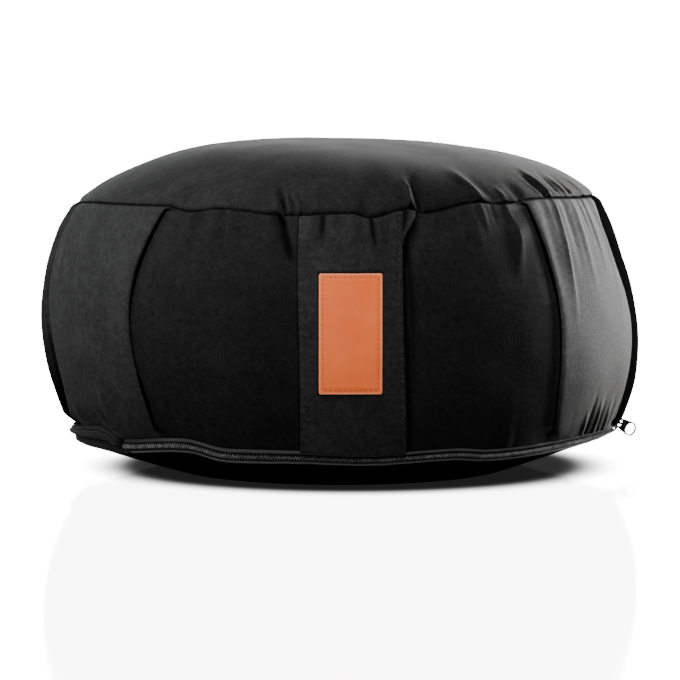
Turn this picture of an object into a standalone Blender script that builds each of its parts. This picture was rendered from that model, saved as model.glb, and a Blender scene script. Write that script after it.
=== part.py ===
"""Round meditation cushion: a filled drum with a domed top, a pleated side, a zip
round the front of its foot, a wide carrying strap and a leather patch.

Metres, +Z up. The origin is the middle of the flat underside, and the strap is on
the -Y side. Azimuth is measured from -Y towards +X, in degrees.
"""

import math

import bmesh
import bpy
import numpy as np
from mathutils import Matrix, Vector

# Driving dimensions
TOP_HEIGHT = 0.1992
RIM_RADIUS = 0.1572
FOOT_RADIUS = 0.1684
SIDE_BULGE = 0.0154
CONTACT_RADIUS = 0.101
CROWN_POWER_LEFT = 2.95
CROWN_POWERS_RIGHT = (2, 8)
CROWN_SPLIT_RIGHT = 0.57
BASE_POWER = 1.04
LEAN = 0.0024
CROWN_SHIFT = -0.004
RIM_WAVE_POWER = 9
BASE_STEP = 0.0016

# Height of the seam between the top and the side, at its crests and dips
RIM_WAVE = (
    # azimuth_deg, height_m
    (-90, 0.1610),
    (-60, 0.1638),
    (-39, 0.1642),
    (-32, 0.1616),
    (-25, 0.1636),
    (-10, 0.1604),
    (3, 0.1618),
    (7, 0.1592),
    (15, 0.1640),
    (18, 0.1615),
    (31, 0.1669),
    (37, 0.1656),
    (48, 0.1676),
    (70, 0.1662),
    (92, 0.1648),
    (125, 0.1648),
    (155, 0.1622),
    (180, 0.1634),
    (-150, 0.1616),
    (-120, 0.1640),
)

# Height of the zip's middle line, at its crests and dips
ZIP_WAVE = (
    # azimuth_deg, height_m
    (-90, 0.0212),
    (-52, 0.0236),
    (-33, 0.0273),
    (-23, 0.0231),
    (-12, 0.0231),
    (4, 0.0214),
    (22, 0.0232),
    (30, 0.0216),
    (63, 0.0250),
    (92, 0.0230),
    (140, 0.0252),
    (180, 0.0240),
    (-140, 0.0240),
)

# How far the side draws in at its foot
FOOT_TUCK = (
    # azimuth_deg, inward_m
    (-150, 0.0),
    (-80, 0.0060),
    (-46, 0.0),
    (40, 0.0),
    (96, 0.0010),
)
TUCK_SHARE = 0.06

# How far the flanks swell beyond the round, in their upper and lower half
FLANK_UPPER = (
    # azimuth_deg, outward_m
    (-150, 0.0),
    (-88, 0.0056),
    (-68, 0.0),
    (68, 0.0),
    (88, -0.0018),
    (150, 0.0),
)
FLANK_LOWER = (
    # azimuth_deg, outward_m
    (-150, 0.0),
    (-88, 0.0010),
    (-68, 0.0),
    (68, 0.0),
    (88, 0.0034),
    (150, 0.0),
)

# How far the zip turns under, round its upper edge
ZIP_TILT = (
    # azimuth_deg, tilt_deg
    (-60, 0.0),
    (-26, 6.0),
    (3, 26.0),
    (56, 25.0),
    (78, 38.0),
    (104, 8.0),
    (150, 4.0),
)

# Fold edges of the four box pleats. The upper layer's edge faces +1 towards growing
# azimuth or -1 against it. pocket is how far the edge stands open under the rim, and
# the edge's azimuth is given at each of FOLD_SHARES of the side's height.
FOLD_SHARES = (0.0, 0.15, 0.3, 0.5, 0.75, 1.0)
FOLDS = (
    # faces, pocket_m, edge_deg
    (-1, 0.0010, (-140.5, -139.5, -138.6, -138.0, -139.0, -141.0)),
    (+1, 0.0012, (-107.5, -106.0, -105.0, -104.5, -105.2, -107.0)),
    (-1, 0.0004, (-72.0, -69.2, -68.2, -73.0, -75.0, -74.0)),
    (+1, 0.0016, (-39.5, -40.5, -41.6, -42.5, -41.5, -37.8)),
    (-1, 0.0030, (45.3, 44.4, 44.4, 45.0, 45.0, 42.0)),
    (+1, 0.0004, (69.0, 69.8, 71.6, 71.6, 70.0, 74.5)),
    (-1, 0.0012, (107.5, 106.0, 105.0, 104.5, 105.2, 107.0)),
    (+1, 0.0010, (141.0, 140.2, 139.5, 139.0, 139.6, 142.0)),
)
FOLD_CURVES = [np.polyfit(FOLD_SHARES, edge, 4) for _, _, edge in FOLDS]
CLOTH = 0.0009
FOLD_LIFT = 0.0028
FLAT_LIFT = 0.0010
FLAT_THICKNESS = 0.35
STRIP_RISE = 0.0020
UNDER_SHUT = -0.0004
UNDER_OPEN = -0.0016
FOLD_OPENS = {"foot": 0.10, "rim": 0.05, "mouth_from": 0.45, "mouth_over": 0.35}
FOLD_SECTION = (
    # along_flat_m, along_folded_m, share of the strip, the fold's top, its underside, the panel
    (-0.0080, -0.0080, 0.25, 0.75, 0.0, 0.0),
    (-0.0016, -0.0016, 0.0, 1.0, 0.0, 0.0),
    (-0.0006, -0.0001, 0.0, 0.78, 0.22, 0.0),
    (-0.0002, 0.0, 0.0, 0.30, 0.70, 0.0),
    (0.0002, -0.0010, 0.0, 0.0, 1.0, 0.0),
    (0.0006, -0.0070, 0.0, 0.0, 0.5, 0.5),
    (0.0012, -0.0008, 0.0, 0.0, 0.0, 1.0),
    (0.0040, 0.0040, 0.0, 0.0, 0.0, 1.0),
    (0.0120, 0.0120, 0.0, 0.0, 0.0, 0.35),
)

# Gathers that run up or down the cloth from a seam
CREASES = (
    # part, seam_deg, far_deg, seam_share, far_share, half_width_m, rise_m
    ("side", 13.7, 13.0, 0.99, 0.03, 0.0024, -0.0042),
    ("side", -11.2, -8.9, 1.00, 0.74, 0.0032, -0.0042),
    ("side", 31.0, 36.0, 1.00, 0.72, 0.0060, 0.0016),
    ("side", 56.0, 58.0, 1.00, 0.60, 0.0060, 0.0018),
    ("side", 63.0, 64.0, 0.02, 0.20, 0.0060, -0.0024),
    ("side", -62.0, -58.0, 0.02, 0.18, 0.0080, 0.0022),
    ("top", -10.5, -15.0, 1.00, 0.78, 0.0050, -0.0036),
    ("top", -8.0, -9.0, 1.00, 0.82, 0.0040, 0.0020),
    ("top", 15.0, 14.0, 1.00, 0.74, 0.0042, 0.0034),
    ("top", 17.6, 17.6, 1.00, 0.80, 0.0042, -0.0030),
    ("top", 31.0, 27.0, 1.00, 0.62, 0.0060, 0.0026),
    ("top", 41.0, 37.0, 1.00, 0.70, 0.0060, -0.0024),
    ("top", 51.0, 46.0, 1.00, 0.55, 0.0060, 0.0026),
    ("top", 57.0, 52.0, 1.00, 0.66, 0.0050, -0.0022),
)

# Seams
RIM_SEAM_DEPTH = 0.0020
RIM_SEAM_WIDTH = 0.0022

# Zip
ZIP_START_DEG = -90.0
ZIP_END_DEG = 108.0
ZIP_BED = 0.0022
ZIP_BED_HALF = 0.0044
TAPE_THICKNESS = 0.0008
CHAIN_HEIGHT = 0.0032
CHAIN_THICKNESS = 0.0019
TAPE_TO_CHAIN = 0.0003
GAP = 0.0004

# Hem of the side that droops over the zip at the left of the front
DROOP_FROM_DEG = -88.0
DROOP_TO_DEG = -51.0
DROOP_DROP = 0.0062
DROOP_OUT = 0.0014
DROOP_EASE_DEG = (6.0, 3.0)
DROOP_SHARES = (0.08, 0.06)
HEM_LIP = (-0.0004, -0.0006)

# Carrying strap and leather patch
STRAP_EDGES_DEG = (
    # rim, middle, foot
    (-7.5, -7.4, -8.5),
    (13.6, 11.4, 11.8),
)
STRAP_THICKNESS = 0.0018
STRAP_GAP = 0.0009
STRAP_TOP_SHARE = 0.988
STRAP_FOOT_DROP = 0.0012
PATCH_WIDTH = 0.0346
PATCH_HEIGHT = 0.0674
PATCH_CENTRE_X = 0.0056
PATCH_CENTRE_HEIGHT = 0.0945
PATCH_THICKNESS = 0.0016
PATCH_GAP = 0.0004

# Zip slider and pull
SLIDER_DEG = 101.0
SLIDER_SIZE = (0.0088, 0.0074, 0.0024)
BAIL_HEIGHT = 0.0046
BAIL_HALF_LENGTH = 0.0041
BAIL_BAR = 0.0011
BAIL_WIDTH = 0.0013
PULL_THICKNESS = 0.0009
PULL_EYE_RADIUS = 0.0036
PULL_RING_RADIUS = 0.0045
PULL_NECK_RADIUS = 0.0031
PULL_HOLE_RADIUS = 0.0022
PULL_EYE_CENTRE = (0.1786, 0.0262, 0.0192)

# Columns of the body's grid: panels between folds, and the points across one fold
PANEL_COLUMNS = (5, 4, 5, 0, 5, 4, 5, 10)
FRONT_COLUMNS_DEG = (
    -32, -26, -20.5, -16, -12.8, -11.2, -9.6, -5, 0, 5, 10, 12.4, 13.5, 14.6, 17.5, 23, 29, 35,
)
CROWN_ROWS = (0.0, 0.24, 0.44, 0.60, 0.72, 0.81, 0.88, 0.93, 0.965, 0.986, 1.0)
SIDE_ROWS = (
    0.985, 0.955, 0.91, 0.85, 0.78, 0.70, 0.62, 0.54, 0.46,
    0.38, 0.30, 0.22, 0.15, 0.095, 0.05, 0.018, 0.0,
)
BASE_ROWS = (1.0, 0.93, 0.80, 0.62, 0.42, 0.22, 0.08, 0.0)
EVEN_FROM = 0.95
CROWN_EVENING = 0.5
BASE_EVENING = 0.8

MATERIALS = {
    # name: colour, roughness, metallic
    "black_canvas": ((0.022, 0.022, 0.023), 0.92, 0.0),
    "tan_leather": ((0.60, 0.20, 0.075), 0.55, 0.0),
    "zip_tape": ((0.030, 0.030, 0.031), 0.85, 0.0),
    "zip_nylon": ((0.035, 0.035, 0.036), 0.45, 0.0),
    "zip_metal": ((0.045, 0.045, 0.047), 0.35, 0.8),
}


def wave(table, azimuth):
    """Value at an azimuth: an eased run from each crest or dip to the next."""
    rows = sorted(table)
    degrees = np.array([row[0] for row in rows] + [rows[0][0] + 360.0])
    values = np.array([row[1] for row in rows] + [rows[0][1]])
    turned = (np.asarray(azimuth, float) - degrees[0]) % 360.0 + degrees[0]
    place = np.clip(np.searchsorted(degrees, turned, side="right") - 1, 0, len(rows) - 1)
    share = (turned - degrees[place]) / (degrees[place + 1] - degrees[place])
    eased = 0.5 - 0.5 * np.cos(math.pi * share)
    return values[place] + (values[place + 1] - values[place]) * eased


def smooth(value):
    """Smooth step from 0 to 1."""
    clipped = np.clip(value, 0.0, 1.0)
    return clipped * clipped * (3 - 2 * clipped)


def through(rim, middle, foot, share):
    """Parabola through three values at share 1, 0.5 and 0."""
    return (
        rim * share * (2 * share - 1)
        + middle * 4 * share * (1 - share)
        + foot * (1 - share) * (1 - 2 * share)
    )


def around(difference):
    """An angle brought into -180 to 180."""
    return (np.asarray(difference, float) + 180.0) % 360.0 - 180.0


def crease_rise(part, azimuth, share, radius):
    """Rise of all the gathers of one part at an azimuth and a share of its length."""
    total = np.zeros(np.broadcast(azimuth, share).shape)
    for name, seam_deg, far_deg, seam_share, far_share, half_width, rise in CREASES:
        if name != part:
            continue
        along = (share - seam_share) / (far_share - seam_share)
        centre = seam_deg + (far_deg - seam_deg) * np.clip(along, 0, 1)
        aside = np.radians(around(azimuth - centre)) * radius / half_width
        fade = smooth((1.02 - along) / 0.6) * smooth((along + 0.06) / 0.06)
        total = total + rise * np.exp(-aside * aside) * fade
    return total


def hem_height(azimuth):
    return wave(ZIP_WAVE, azimuth) + ZIP_BED_HALF


def droop(azimuth):
    """How far the hem hangs over the zip, from 0 to 1."""
    start = smooth((azimuth - DROOP_FROM_DEG) / DROOP_EASE_DEG[0])
    return start * smooth((DROOP_TO_DEG - azimuth) / DROOP_EASE_DEG[1])


def side_radius(share):
    chord = FOOT_RADIUS + (RIM_RADIUS - FOOT_RADIUS) * share
    return chord + SIDE_BULGE * 4 * share * (1 - share)


def side_place(azimuth, share, out, creased=True):
    """A point on the side. share is 0 at the zip seam and 1 at the rim seam."""
    azimuth, share, out = np.broadcast_arrays(azimuth, share, out)
    radius = side_radius(share) - wave(FOOT_TUCK, azimuth) * smooth(1 - share / TUCK_SHARE)
    swell = wave(FLANK_UPPER, azimuth) * share + wave(FLANK_LOWER, azimuth) * (1 - share)
    radius = radius + swell * 4 * share * (1 - share)
    foot = hem_height(azimuth)
    height = foot + (wave(RIM_WAVE, azimuth) - foot) * share
    if creased:
        radius = radius + crease_rise("side", azimuth, share, radius)
    radius = radius + out
    turn = np.radians(azimuth)
    return np.stack(
        [radius * np.sin(turn) + LEAN * np.cos(math.pi * share), -radius * np.cos(turn), height],
        axis=-1,
    )


def zip_place(azimuth, out, down):
    """A point on the zip's bed: out from its face, and down from the hem of the side."""
    tilt = np.radians(wave(ZIP_TILT, azimuth))
    radial = out * np.cos(tilt) - down * np.sin(tilt)
    place = side_place(azimuth, 0.0, radial, creased=False)
    place[..., 2] -= down * np.cos(tilt) + out * np.sin(tilt)
    return place


def crown_place(azimuth, share, sink):
    """A point on the top. share is 0 at the middle and 1 at the rim seam."""
    azimuth, share, sink = np.broadcast_arrays(azimuth, share, sink)
    radius = RIM_RADIUS * share
    rim = wave(RIM_WAVE, azimuth)
    rim_mean = sum(row[1] for row in RIM_WAVE) / len(RIM_WAVE)
    turn = np.radians(azimuth)
    soft, sharp = CROWN_POWERS_RIGHT
    right = CROWN_SPLIT_RIGHT * share**soft + (1 - CROWN_SPLIT_RIGHT) * share**sharp
    left = share**CROWN_POWER_LEFT
    drop = left + (right - left) * (0.5 + 0.5 * np.sin(turn))
    height = TOP_HEIGHT - (TOP_HEIGHT - rim_mean) * drop
    height = height + (rim - rim_mean) * share**RIM_WAVE_POWER - sink
    height = height + crease_rise("top", azimuth, share, radius)
    shift = CROWN_SHIFT + (-LEAN - CROWN_SHIFT) * share**2
    return np.stack([radius * np.sin(turn) + shift, -radius * np.cos(turn), height], axis=-1)


def base_place(azimuth, share):
    """A point under the zip. share is 1 at the zip's lower edge and 0 where it meets the floor."""
    azimuth, share = np.broadcast_arrays(azimuth, share)
    edge = zip_place(azimuth, -BASE_STEP, 2 * ZIP_BED_HALF)
    turn = np.radians(azimuth)
    floor = CONTACT_RADIUS * np.stack([np.sin(turn), -np.cos(turn), np.zeros(turn.shape)], axis=-1)
    place = floor + (edge - floor) * share[:, None]
    place[:, 2] = edge[:, 2] * share**BASE_POWER
    return place


def fold_points(share, pocket):
    """Points across one fold, from its upper layer to its lower one, as (along, out)."""
    closed = float(smooth(share / FOLD_OPENS["foot"]) * smooth((1 - share) / FOLD_OPENS["rim"]))
    mouth = float(smooth((share - FOLD_OPENS["mouth_from"]) / FOLD_OPENS["mouth_over"])) * closed
    lift = FLAT_LIFT + (FOLD_LIFT - FLAT_LIFT) * closed + pocket * mouth
    low = lift - 2 * CLOTH * (FLAT_THICKNESS + (1 - FLAT_THICKNESS) * closed)
    under = UNDER_SHUT + UNDER_OPEN * mouth
    points = []
    for flat, folded, strip, top, underside, panel in FOLD_SECTION:
        out = strip * STRIP_RISE + top * lift + underside * low + panel * under
        points.append((flat + (folded - flat) * closed, out))
    return points


def ring_columns(share):
    """(azimuth, out) for each column of the side at one share of its height."""
    edges = [float(np.polyval(curve, share)) for curve in FOLD_CURVES]
    radius = side_radius(share)
    columns = []
    for index, (faces, pocket, _) in enumerate(FOLDS):
        points = fold_points(share, pocket)
        if faces < 0:
            points = [(-along, out) for along, out in reversed(points)]
        fold = [(edges[index] + math.degrees(along / radius), out) for along, out in points]
        after = edges[(index + 1) % len(FOLDS)] + (360.0 if index + 1 == len(FOLDS) else 0.0)
        next_faces, next_pocket, _ = FOLDS[(index + 1) % len(FOLDS)]
        next_points = fold_points(share, next_pocket)
        reach = next_points[0][0] if next_faces > 0 else -next_points[-1][0]
        stop = after + math.degrees(reach / radius)
        level = STRIP_RISE if faces < 0 else 0.0
        count = PANEL_COLUMNS[index]
        start = fold[-1][0]
        panel = [
            (start + (stop - start) * (step + 1) / (count + 1), level) for step in range(count)
        ]
        if not count:
            panel = [(float(azimuth), level) for azimuth in FRONT_COLUMNS_DEG]
        columns += fold + panel
    return np.array(columns)


def body_rows():
    """Rings of points from the middle of the top to the middle of the underside."""
    rim = ring_columns(1.0)
    count = len(rim)
    even = rim[0, 0] + 360.0 * np.arange(count) / count
    rows = []
    for share in CROWN_ROWS:
        spread = smooth((EVEN_FROM - share) / CROWN_EVENING)
        azimuth = rim[:, 0] + (even - rim[:, 0]) * spread
        near = (1 - share) * RIM_RADIUS / RIM_SEAM_WIDTH
        sink = RIM_SEAM_DEPTH * math.exp(-near)
        place = crown_place(azimuth, share, sink)
        turn = np.radians(azimuth)
        place[:, 0] -= 0.5 * sink * np.sin(turn)
        place[:, 1] += 0.5 * sink * np.cos(turn)
        rows.append(place)
    height = RIM_WAVE[0][1] - ZIP_WAVE[0][1]
    for share in SIDE_ROWS:
        columns = ring_columns(share)
        seam = RIM_SEAM_DEPTH * math.exp(-(1 - share) * height / RIM_SEAM_WIDTH)
        hang = droop(columns[:, 0]) * smooth((DROOP_SHARES[0] - share) / DROOP_SHARES[1])
        lip = DROOP_OUT * (0.6 if share == 0.0 else 1.0) * hang
        place = side_place(columns[:, 0], share, columns[:, 1] - seam + lip)
        place[:, 2] -= DROOP_DROP * hang
        rows.append(place)
    foot = ring_columns(0.0)[:, 0]
    for out, down in (HEM_LIP, (-ZIP_BED, 0.0), (-ZIP_BED, 2 * ZIP_BED_HALF)):
        rows.append(zip_place(foot, out, down))
    for share in BASE_ROWS:
        spread = smooth((EVEN_FROM - share) / BASE_EVENING)
        azimuth = foot + (even - foot) * spread
        rows.append(base_place(azimuth, share))
    rows.append(np.zeros((count, 3)))
    return rows


def finish(name, work, material):
    """Turns a bmesh into an object that faces out and has its material."""
    bmesh.ops.recalc_face_normals(work, faces=work.faces)
    if work.calc_volume(signed=True) < 0:
        bmesh.ops.reverse_faces(work, faces=work.faces)
    mesh = bpy.data.meshes.new(name)
    work.to_mesh(mesh)
    work.free()
    mesh.materials.append(bpy.data.materials[material])
    mesh.shade_smooth()
    mesh.set_sharp_from_angle(angle=math.radians(40))
    made = bpy.data.objects.new(name, mesh)
    bpy.context.scene.collection.objects.link(made)
    return made


def loft(rows, closed_ends):
    """A bmesh of rings joined in order, with its two end rings capped or not."""
    work = bmesh.new()
    rings = []
    for row in rows:
        verts = [work.verts.new(point) for point in row]
        rings.append([work.edges.new((a, b)) for a, b in zip(verts, verts[1:] + verts[:1])])
    for ring, following in zip(rings, rings[1:]):
        bmesh.ops.bridge_loops(work, edges=ring + following)
    if closed_ends:
        for ring in (rings[0], rings[-1]):
            bmesh.ops.contextual_create(work, geom=ring)
    return work


def build_body():
    rows = body_rows()
    columns = len(rows[0])
    work = bmesh.new()
    made = bmesh.ops.create_grid(work, x_segments=columns, y_segments=len(rows) - 1, size=1.0)
    for vert in made["verts"]:
        column = round((vert.co.x + 1) / 2 * columns) % columns
        row = round((vert.co.y + 1) / 2 * (len(rows) - 1))
        vert.co = rows[row][column]
    bmesh.ops.remove_doubles(work, verts=work.verts, dist=1e-6)
    return finish("cushion_body", work, "black_canvas")


def zip_strip(name, material, section):
    """A strip along the zip. section holds its corners as (out, across)."""
    rows = [
        [zip_place(azimuth, out, ZIP_BED_HALF - across) for out, across in section]
        for azimuth in np.arange(ZIP_START_DEG, ZIP_END_DEG + 0.01, 3.0)
    ]
    return finish(name, loft(rows, True), material)


def build_zip():
    bed = -ZIP_BED + GAP
    edge = CHAIN_HEIGHT / 2 + TAPE_TO_CHAIN
    far = ZIP_BED_HALF - GAP
    half, deep = CHAIN_HEIGHT / 2, CHAIN_THICKNESS
    face = bed + TAPE_THICKNESS
    tape = ((bed, edge), (face, edge), (face, far), (bed, far))
    coil = (
        (bed, -half),
        (bed + 0.55 * deep, -half),
        (bed + deep, -0.35 * half),
        (bed + deep, 0.35 * half),
        (bed + 0.55 * deep, half),
        (bed, half),
    )
    zip_strip("zip_tape_upper", "zip_tape", tape)
    zip_strip("zip_tape_lower", "zip_tape", [(out, -across) for out, across in tape])
    zip_strip("zip_chain", "zip_nylon", coil)


def sheet_solid(name, material, places, inner, outer):
    """A sheet between two offsets of a surface. places is a grid of (azimuth, share)."""
    lengthwise, across = places.shape[:2]
    rows = []
    for line in places:
        azimuth, share = line[:, 0], line[:, 1]
        front = side_place(azimuth, share, outer, creased=False)
        back = side_place(azimuth, share, inner, creased=False)
        rows.append(list(front) + list(back[::-1]))
    work = loft(rows, False)
    work.verts.ensure_lookup_table()
    for row in (0, lengthwise - 1):
        first = row * 2 * across
        for step in range(across - 1):
            near, far = first + step, first + 2 * across - 1 - step
            corners = [near, near + 1, far - 1, far]
            work.faces.new([work.verts[corner] for corner in corners])
    return finish(name, work, material)


def strap_places():
    """Grid over the strap, from the rim seam down over the zip seam."""
    drop = STRAP_FOOT_DROP / (RIM_WAVE[0][1] - hem_height(0.0))
    shares = np.linspace(STRAP_TOP_SHARE, -float(drop), 21)
    grid = []
    for share in shares:
        left, right = [through(*edge, share) for edge in STRAP_EDGES_DEG]
        grid.append([(azimuth, share) for azimuth in np.linspace(left, right, 8)])
    return np.array(grid)


def build_strap():
    sheet_solid(
        "carry_strap",
        "black_canvas",
        strap_places(),
        STRAP_GAP,
        STRAP_GAP + STRAP_THICKNESS,
    )


def patch_spot(along, height):
    """Azimuth and share of the side at a sideways distance and a height, both in metres."""
    azimuth = 0.0
    for _ in range(4):
        foot, rim = float(hem_height(azimuth)), float(wave(RIM_WAVE, azimuth))
        share = (height - foot) / (rim - foot)
        azimuth = math.degrees(
            math.asin((along - LEAN * math.cos(math.pi * share)) / side_radius(share))
        )
    return azimuth, share


def build_patch():
    alongs = PATCH_CENTRE_X + PATCH_WIDTH * np.linspace(-0.5, 0.5, 5)
    heights = PATCH_CENTRE_HEIGHT + PATCH_HEIGHT * np.linspace(0.5, -0.5, 9)
    grid = [[patch_spot(along, height) for along in alongs] for height in heights]
    inner = STRAP_GAP + STRAP_THICKNESS + PATCH_GAP
    sheet_solid("leather_patch", "tan_leather", np.array(grid), inner, inner + PATCH_THICKNESS)


def slider_frame():
    """Place of the slider: its axes run along the zip, across it and out of it."""
    lift = -ZIP_BED + 2 * GAP + CHAIN_THICKNESS + SLIDER_SIZE[2] / 2
    middle = Vector(zip_place(SLIDER_DEG, lift, ZIP_BED_HALF))
    outward = (Vector(zip_place(SLIDER_DEG, 2 * lift, ZIP_BED_HALF)) - middle).normalized()
    across = (Vector(zip_place(SLIDER_DEG, lift, 0.0)) - middle).normalized()
    along = across.cross(outward)
    return Matrix.Translation(middle) @ Matrix((along, across, outward)).transposed().to_4x4()


def build_slider():
    work = bmesh.new()
    bmesh.ops.create_cube(work, size=1.0, matrix=Matrix.Diagonal((*SLIDER_SIZE, 1.0)))
    upright = [e for e in work.edges if abs((e.verts[0].co - e.verts[1].co).z) > 1e-4]
    bmesh.ops.bevel(
        work, geom=upright, offset=0.0022, segments=3, affect="EDGES", profile=0.5, material=-1
    )
    crown = [f for f in work.faces if f.normal.z > 0.9]
    bmesh.ops.inset_region(work, faces=crown, thickness=0.0006, depth=0.0004)
    slider = finish("zip_slider", work, "zip_metal")
    slider.matrix_world = slider_frame()

    arch = bmesh.new()
    half, top, root = BAIL_HALF_LENGTH, BAIL_HEIGHT, -0.0004
    leg, ceiling = half - BAIL_BAR, top - BAIL_BAR
    profile = ((-half, root), (-half, 0.8 * top), (-0.8 * half, top), (0.8 * half, top))
    profile += ((half, 0.8 * top), (half, root))
    inner = ((leg, root), (leg, 0.85 * ceiling), (0.85 * leg, ceiling))
    inner += ((-0.85 * leg, ceiling), (-leg, 0.85 * ceiling), (-leg, root))
    ring = [arch.verts.new((x, -BAIL_WIDTH / 2, z)) for x, z in profile + inner]
    face = arch.faces.new(ring)
    pushed = bmesh.ops.extrude_face_region(arch, geom=[face])
    moved = [v for v in pushed["geom"] if isinstance(v, bmesh.types.BMVert)]
    bmesh.ops.translate(arch, verts=moved, vec=(0, BAIL_WIDTH, 0))
    bail = finish("bail_guide", arch, "zip_metal")
    bail.matrix_world = slider.matrix_world @ Matrix.Translation((0, 0, SLIDER_SIZE[2] / 2))
    bail.hide_render = True
    bail.display_type = "WIRE"
    joined = slider.modifiers.new("bail", "BOOLEAN")
    joined.operation = "UNION"
    joined.object = bail


def outline_between(circles, steps):
    """Outline of the hull of two circles (centre along X, radius), turning left."""
    (near, small), (far, large) = circles
    tilt = math.acos((large - small) / (far - near))
    big = [math.pi - tilt - (2 * (math.pi - tilt)) * k / steps for k in range(steps + 1)]
    little = [-(math.pi - tilt) - 2 * tilt * k / steps for k in range(steps + 1)]
    points = [(far + large * math.cos(a), large * math.sin(a)) for a in big]
    points += [(near + small * math.cos(a), small * math.sin(a)) for a in little]
    return points[::-1]


def build_pull():
    """Flat teardrop with a small hole at its neck and a large eye at its end."""
    bar = slider_frame() @ Vector((0, 0, SLIDER_SIZE[2] / 2 + BAIL_HEIGHT - BAIL_BAR / 2))
    reach = Vector(PULL_EYE_CENTRE) - bar
    length = reach.length
    outline = outline_between(((0.0, PULL_NECK_RADIUS), (length, PULL_RING_RADIUS)), 16)
    work = bmesh.new()
    face = work.faces.new([work.verts.new((x, y, -PULL_THICKNESS / 2)) for x, y in outline])
    pushed = bmesh.ops.extrude_face_region(work, geom=[face])
    moved = [v for v in pushed["geom"] if isinstance(v, bmesh.types.BMVert)]
    bmesh.ops.translate(work, verts=moved, vec=(0, 0, PULL_THICKNESS))
    pull = finish("zip_pull", work, "zip_metal")
    direction = reach.normalized()
    width = Vector((-direction.z, 0.0, direction.x)).normalized()
    normal = direction.cross(width)
    turned = Matrix((direction, width, normal)).transposed().to_4x4()
    pull.matrix_world = Matrix.Translation(bar) @ turned
    holes = (("neck", 0.0, PULL_HOLE_RADIUS, 14), ("eye", length, PULL_EYE_RADIUS, 28))
    for name, along, radius, segments in holes:
        cutter_mesh = bmesh.new()
        bmesh.ops.create_cone(
            cutter_mesh,
            cap_ends=True,
            segments=segments,
            radius1=radius,
            radius2=radius,
            depth=4 * PULL_THICKNESS,
        )
        cutter = finish(f"{name}_cutter", cutter_mesh, "zip_metal")
        cutter.matrix_world = pull.matrix_world @ Matrix.Translation((along, 0, 0))
        cutter.hide_render = True
        cutter.display_type = "WIRE"
        cut = pull.modifiers.new(name, "BOOLEAN")
        cut.operation = "DIFFERENCE"
        cut.object = cutter


def make_materials():
    for name, (colour, roughness, metallic) in MATERIALS.items():
        material = bpy.data.materials.new(name)
        material.use_nodes = True
        shader = material.node_tree.nodes["Principled BSDF"]
        shader.inputs["Base Color"].default_value = (*colour, 1.0)
        shader.inputs["Roughness"].default_value = roughness
        shader.inputs["Metallic"].default_value = metallic


def main():
    for old in list(bpy.data.objects):
        bpy.data.objects.remove(old)
    make_materials()
    build_body()
    build_zip()
    build_strap()
    build_patch()
    build_slider()
    build_pull()


main()
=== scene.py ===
# Round meditation cushion: black canvas cover with box pleats, a zip round the foot,
# a sewn strap and a leather patch. Azimuth 0 is the front (-Y) and grows towards +X.
import math

import bmesh
import bpy
import numpy as np
from mathutils import Matrix, Vector, noise


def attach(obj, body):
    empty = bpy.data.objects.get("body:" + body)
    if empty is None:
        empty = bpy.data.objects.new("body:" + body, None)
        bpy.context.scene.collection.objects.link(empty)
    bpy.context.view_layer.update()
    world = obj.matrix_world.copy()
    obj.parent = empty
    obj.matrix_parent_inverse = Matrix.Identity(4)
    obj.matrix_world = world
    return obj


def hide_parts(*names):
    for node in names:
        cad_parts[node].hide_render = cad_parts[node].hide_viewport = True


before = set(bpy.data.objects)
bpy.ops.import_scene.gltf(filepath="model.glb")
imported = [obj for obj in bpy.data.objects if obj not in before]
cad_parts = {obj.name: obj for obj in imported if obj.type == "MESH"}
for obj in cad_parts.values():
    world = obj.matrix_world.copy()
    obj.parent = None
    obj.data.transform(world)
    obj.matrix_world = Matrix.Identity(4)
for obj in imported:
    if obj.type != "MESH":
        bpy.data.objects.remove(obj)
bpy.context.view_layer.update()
print("frame loaded:", sorted(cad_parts))

# The cover's main form, in metres
cover = {
    "topHeight": 0.1992,
    "rimRadius": 0.1572,
    "footRadius": 0.1684,
    "bulge": 0.0154,
    "lean": 0.0024,
    "crownShift": -0.004,
    "crownPowerLeft": 2.95,
    "crownPowersRight": (2, 8),
    "crownSplitRight": 0.57,
    "contactRadius": 0.101,
    "basePower": 1.04,
    "baseStep": 0.0016,
    "seamDepth": 0.0032,
    "seamWidth": 0.0013,
    "seamLine": 0.0014,
    "paintedMiddleLight": 0.34,
    "sideLength": 0.137,
    "clothRadius": 0.172,
    "crownRows": 38,
    "crownSpread": 1.819,
    "sideRows": 76,
    "sideSpread": 1.647,
    "baseRows": 18,
    "lumpSize": 0.0011,
    "puckerSize": 0.00045,
}

# Height of the rim seam at its crests and dips: azimuth, height
rimWave = [
    (-90, 0.1610), (-60, 0.1638), (-39, 0.1642), (-32, 0.1616), (-25, 0.1636), (-10, 0.1604),
    (3, 0.1618), (7, 0.1592), (15, 0.1640), (18, 0.1615), (31, 0.1669), (37, 0.1656),
    (48, 0.1676), (70, 0.1662), (92, 0.1648), (125, 0.1648), (155, 0.1622), (180, 0.1634),
    (-150, 0.1616), (-120, 0.1640),
]

# Height of the zip's middle line: azimuth, height
zipWave = [
    (-90, 0.0212), (-52, 0.0236), (-33, 0.0273), (-23, 0.0231), (-12, 0.0231), (4, 0.0214),
    (22, 0.0232), (30, 0.0216), (63, 0.0250), (92, 0.0230), (140, 0.0252), (180, 0.0240),
    (-140, 0.0240),
]

# How far the side draws in at its foot: azimuth, distance
footTuck = [(-150, 0.0), (-80, 0.0060), (-46, 0.0), (40, 0.0), (96, 0.0010)]

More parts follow.
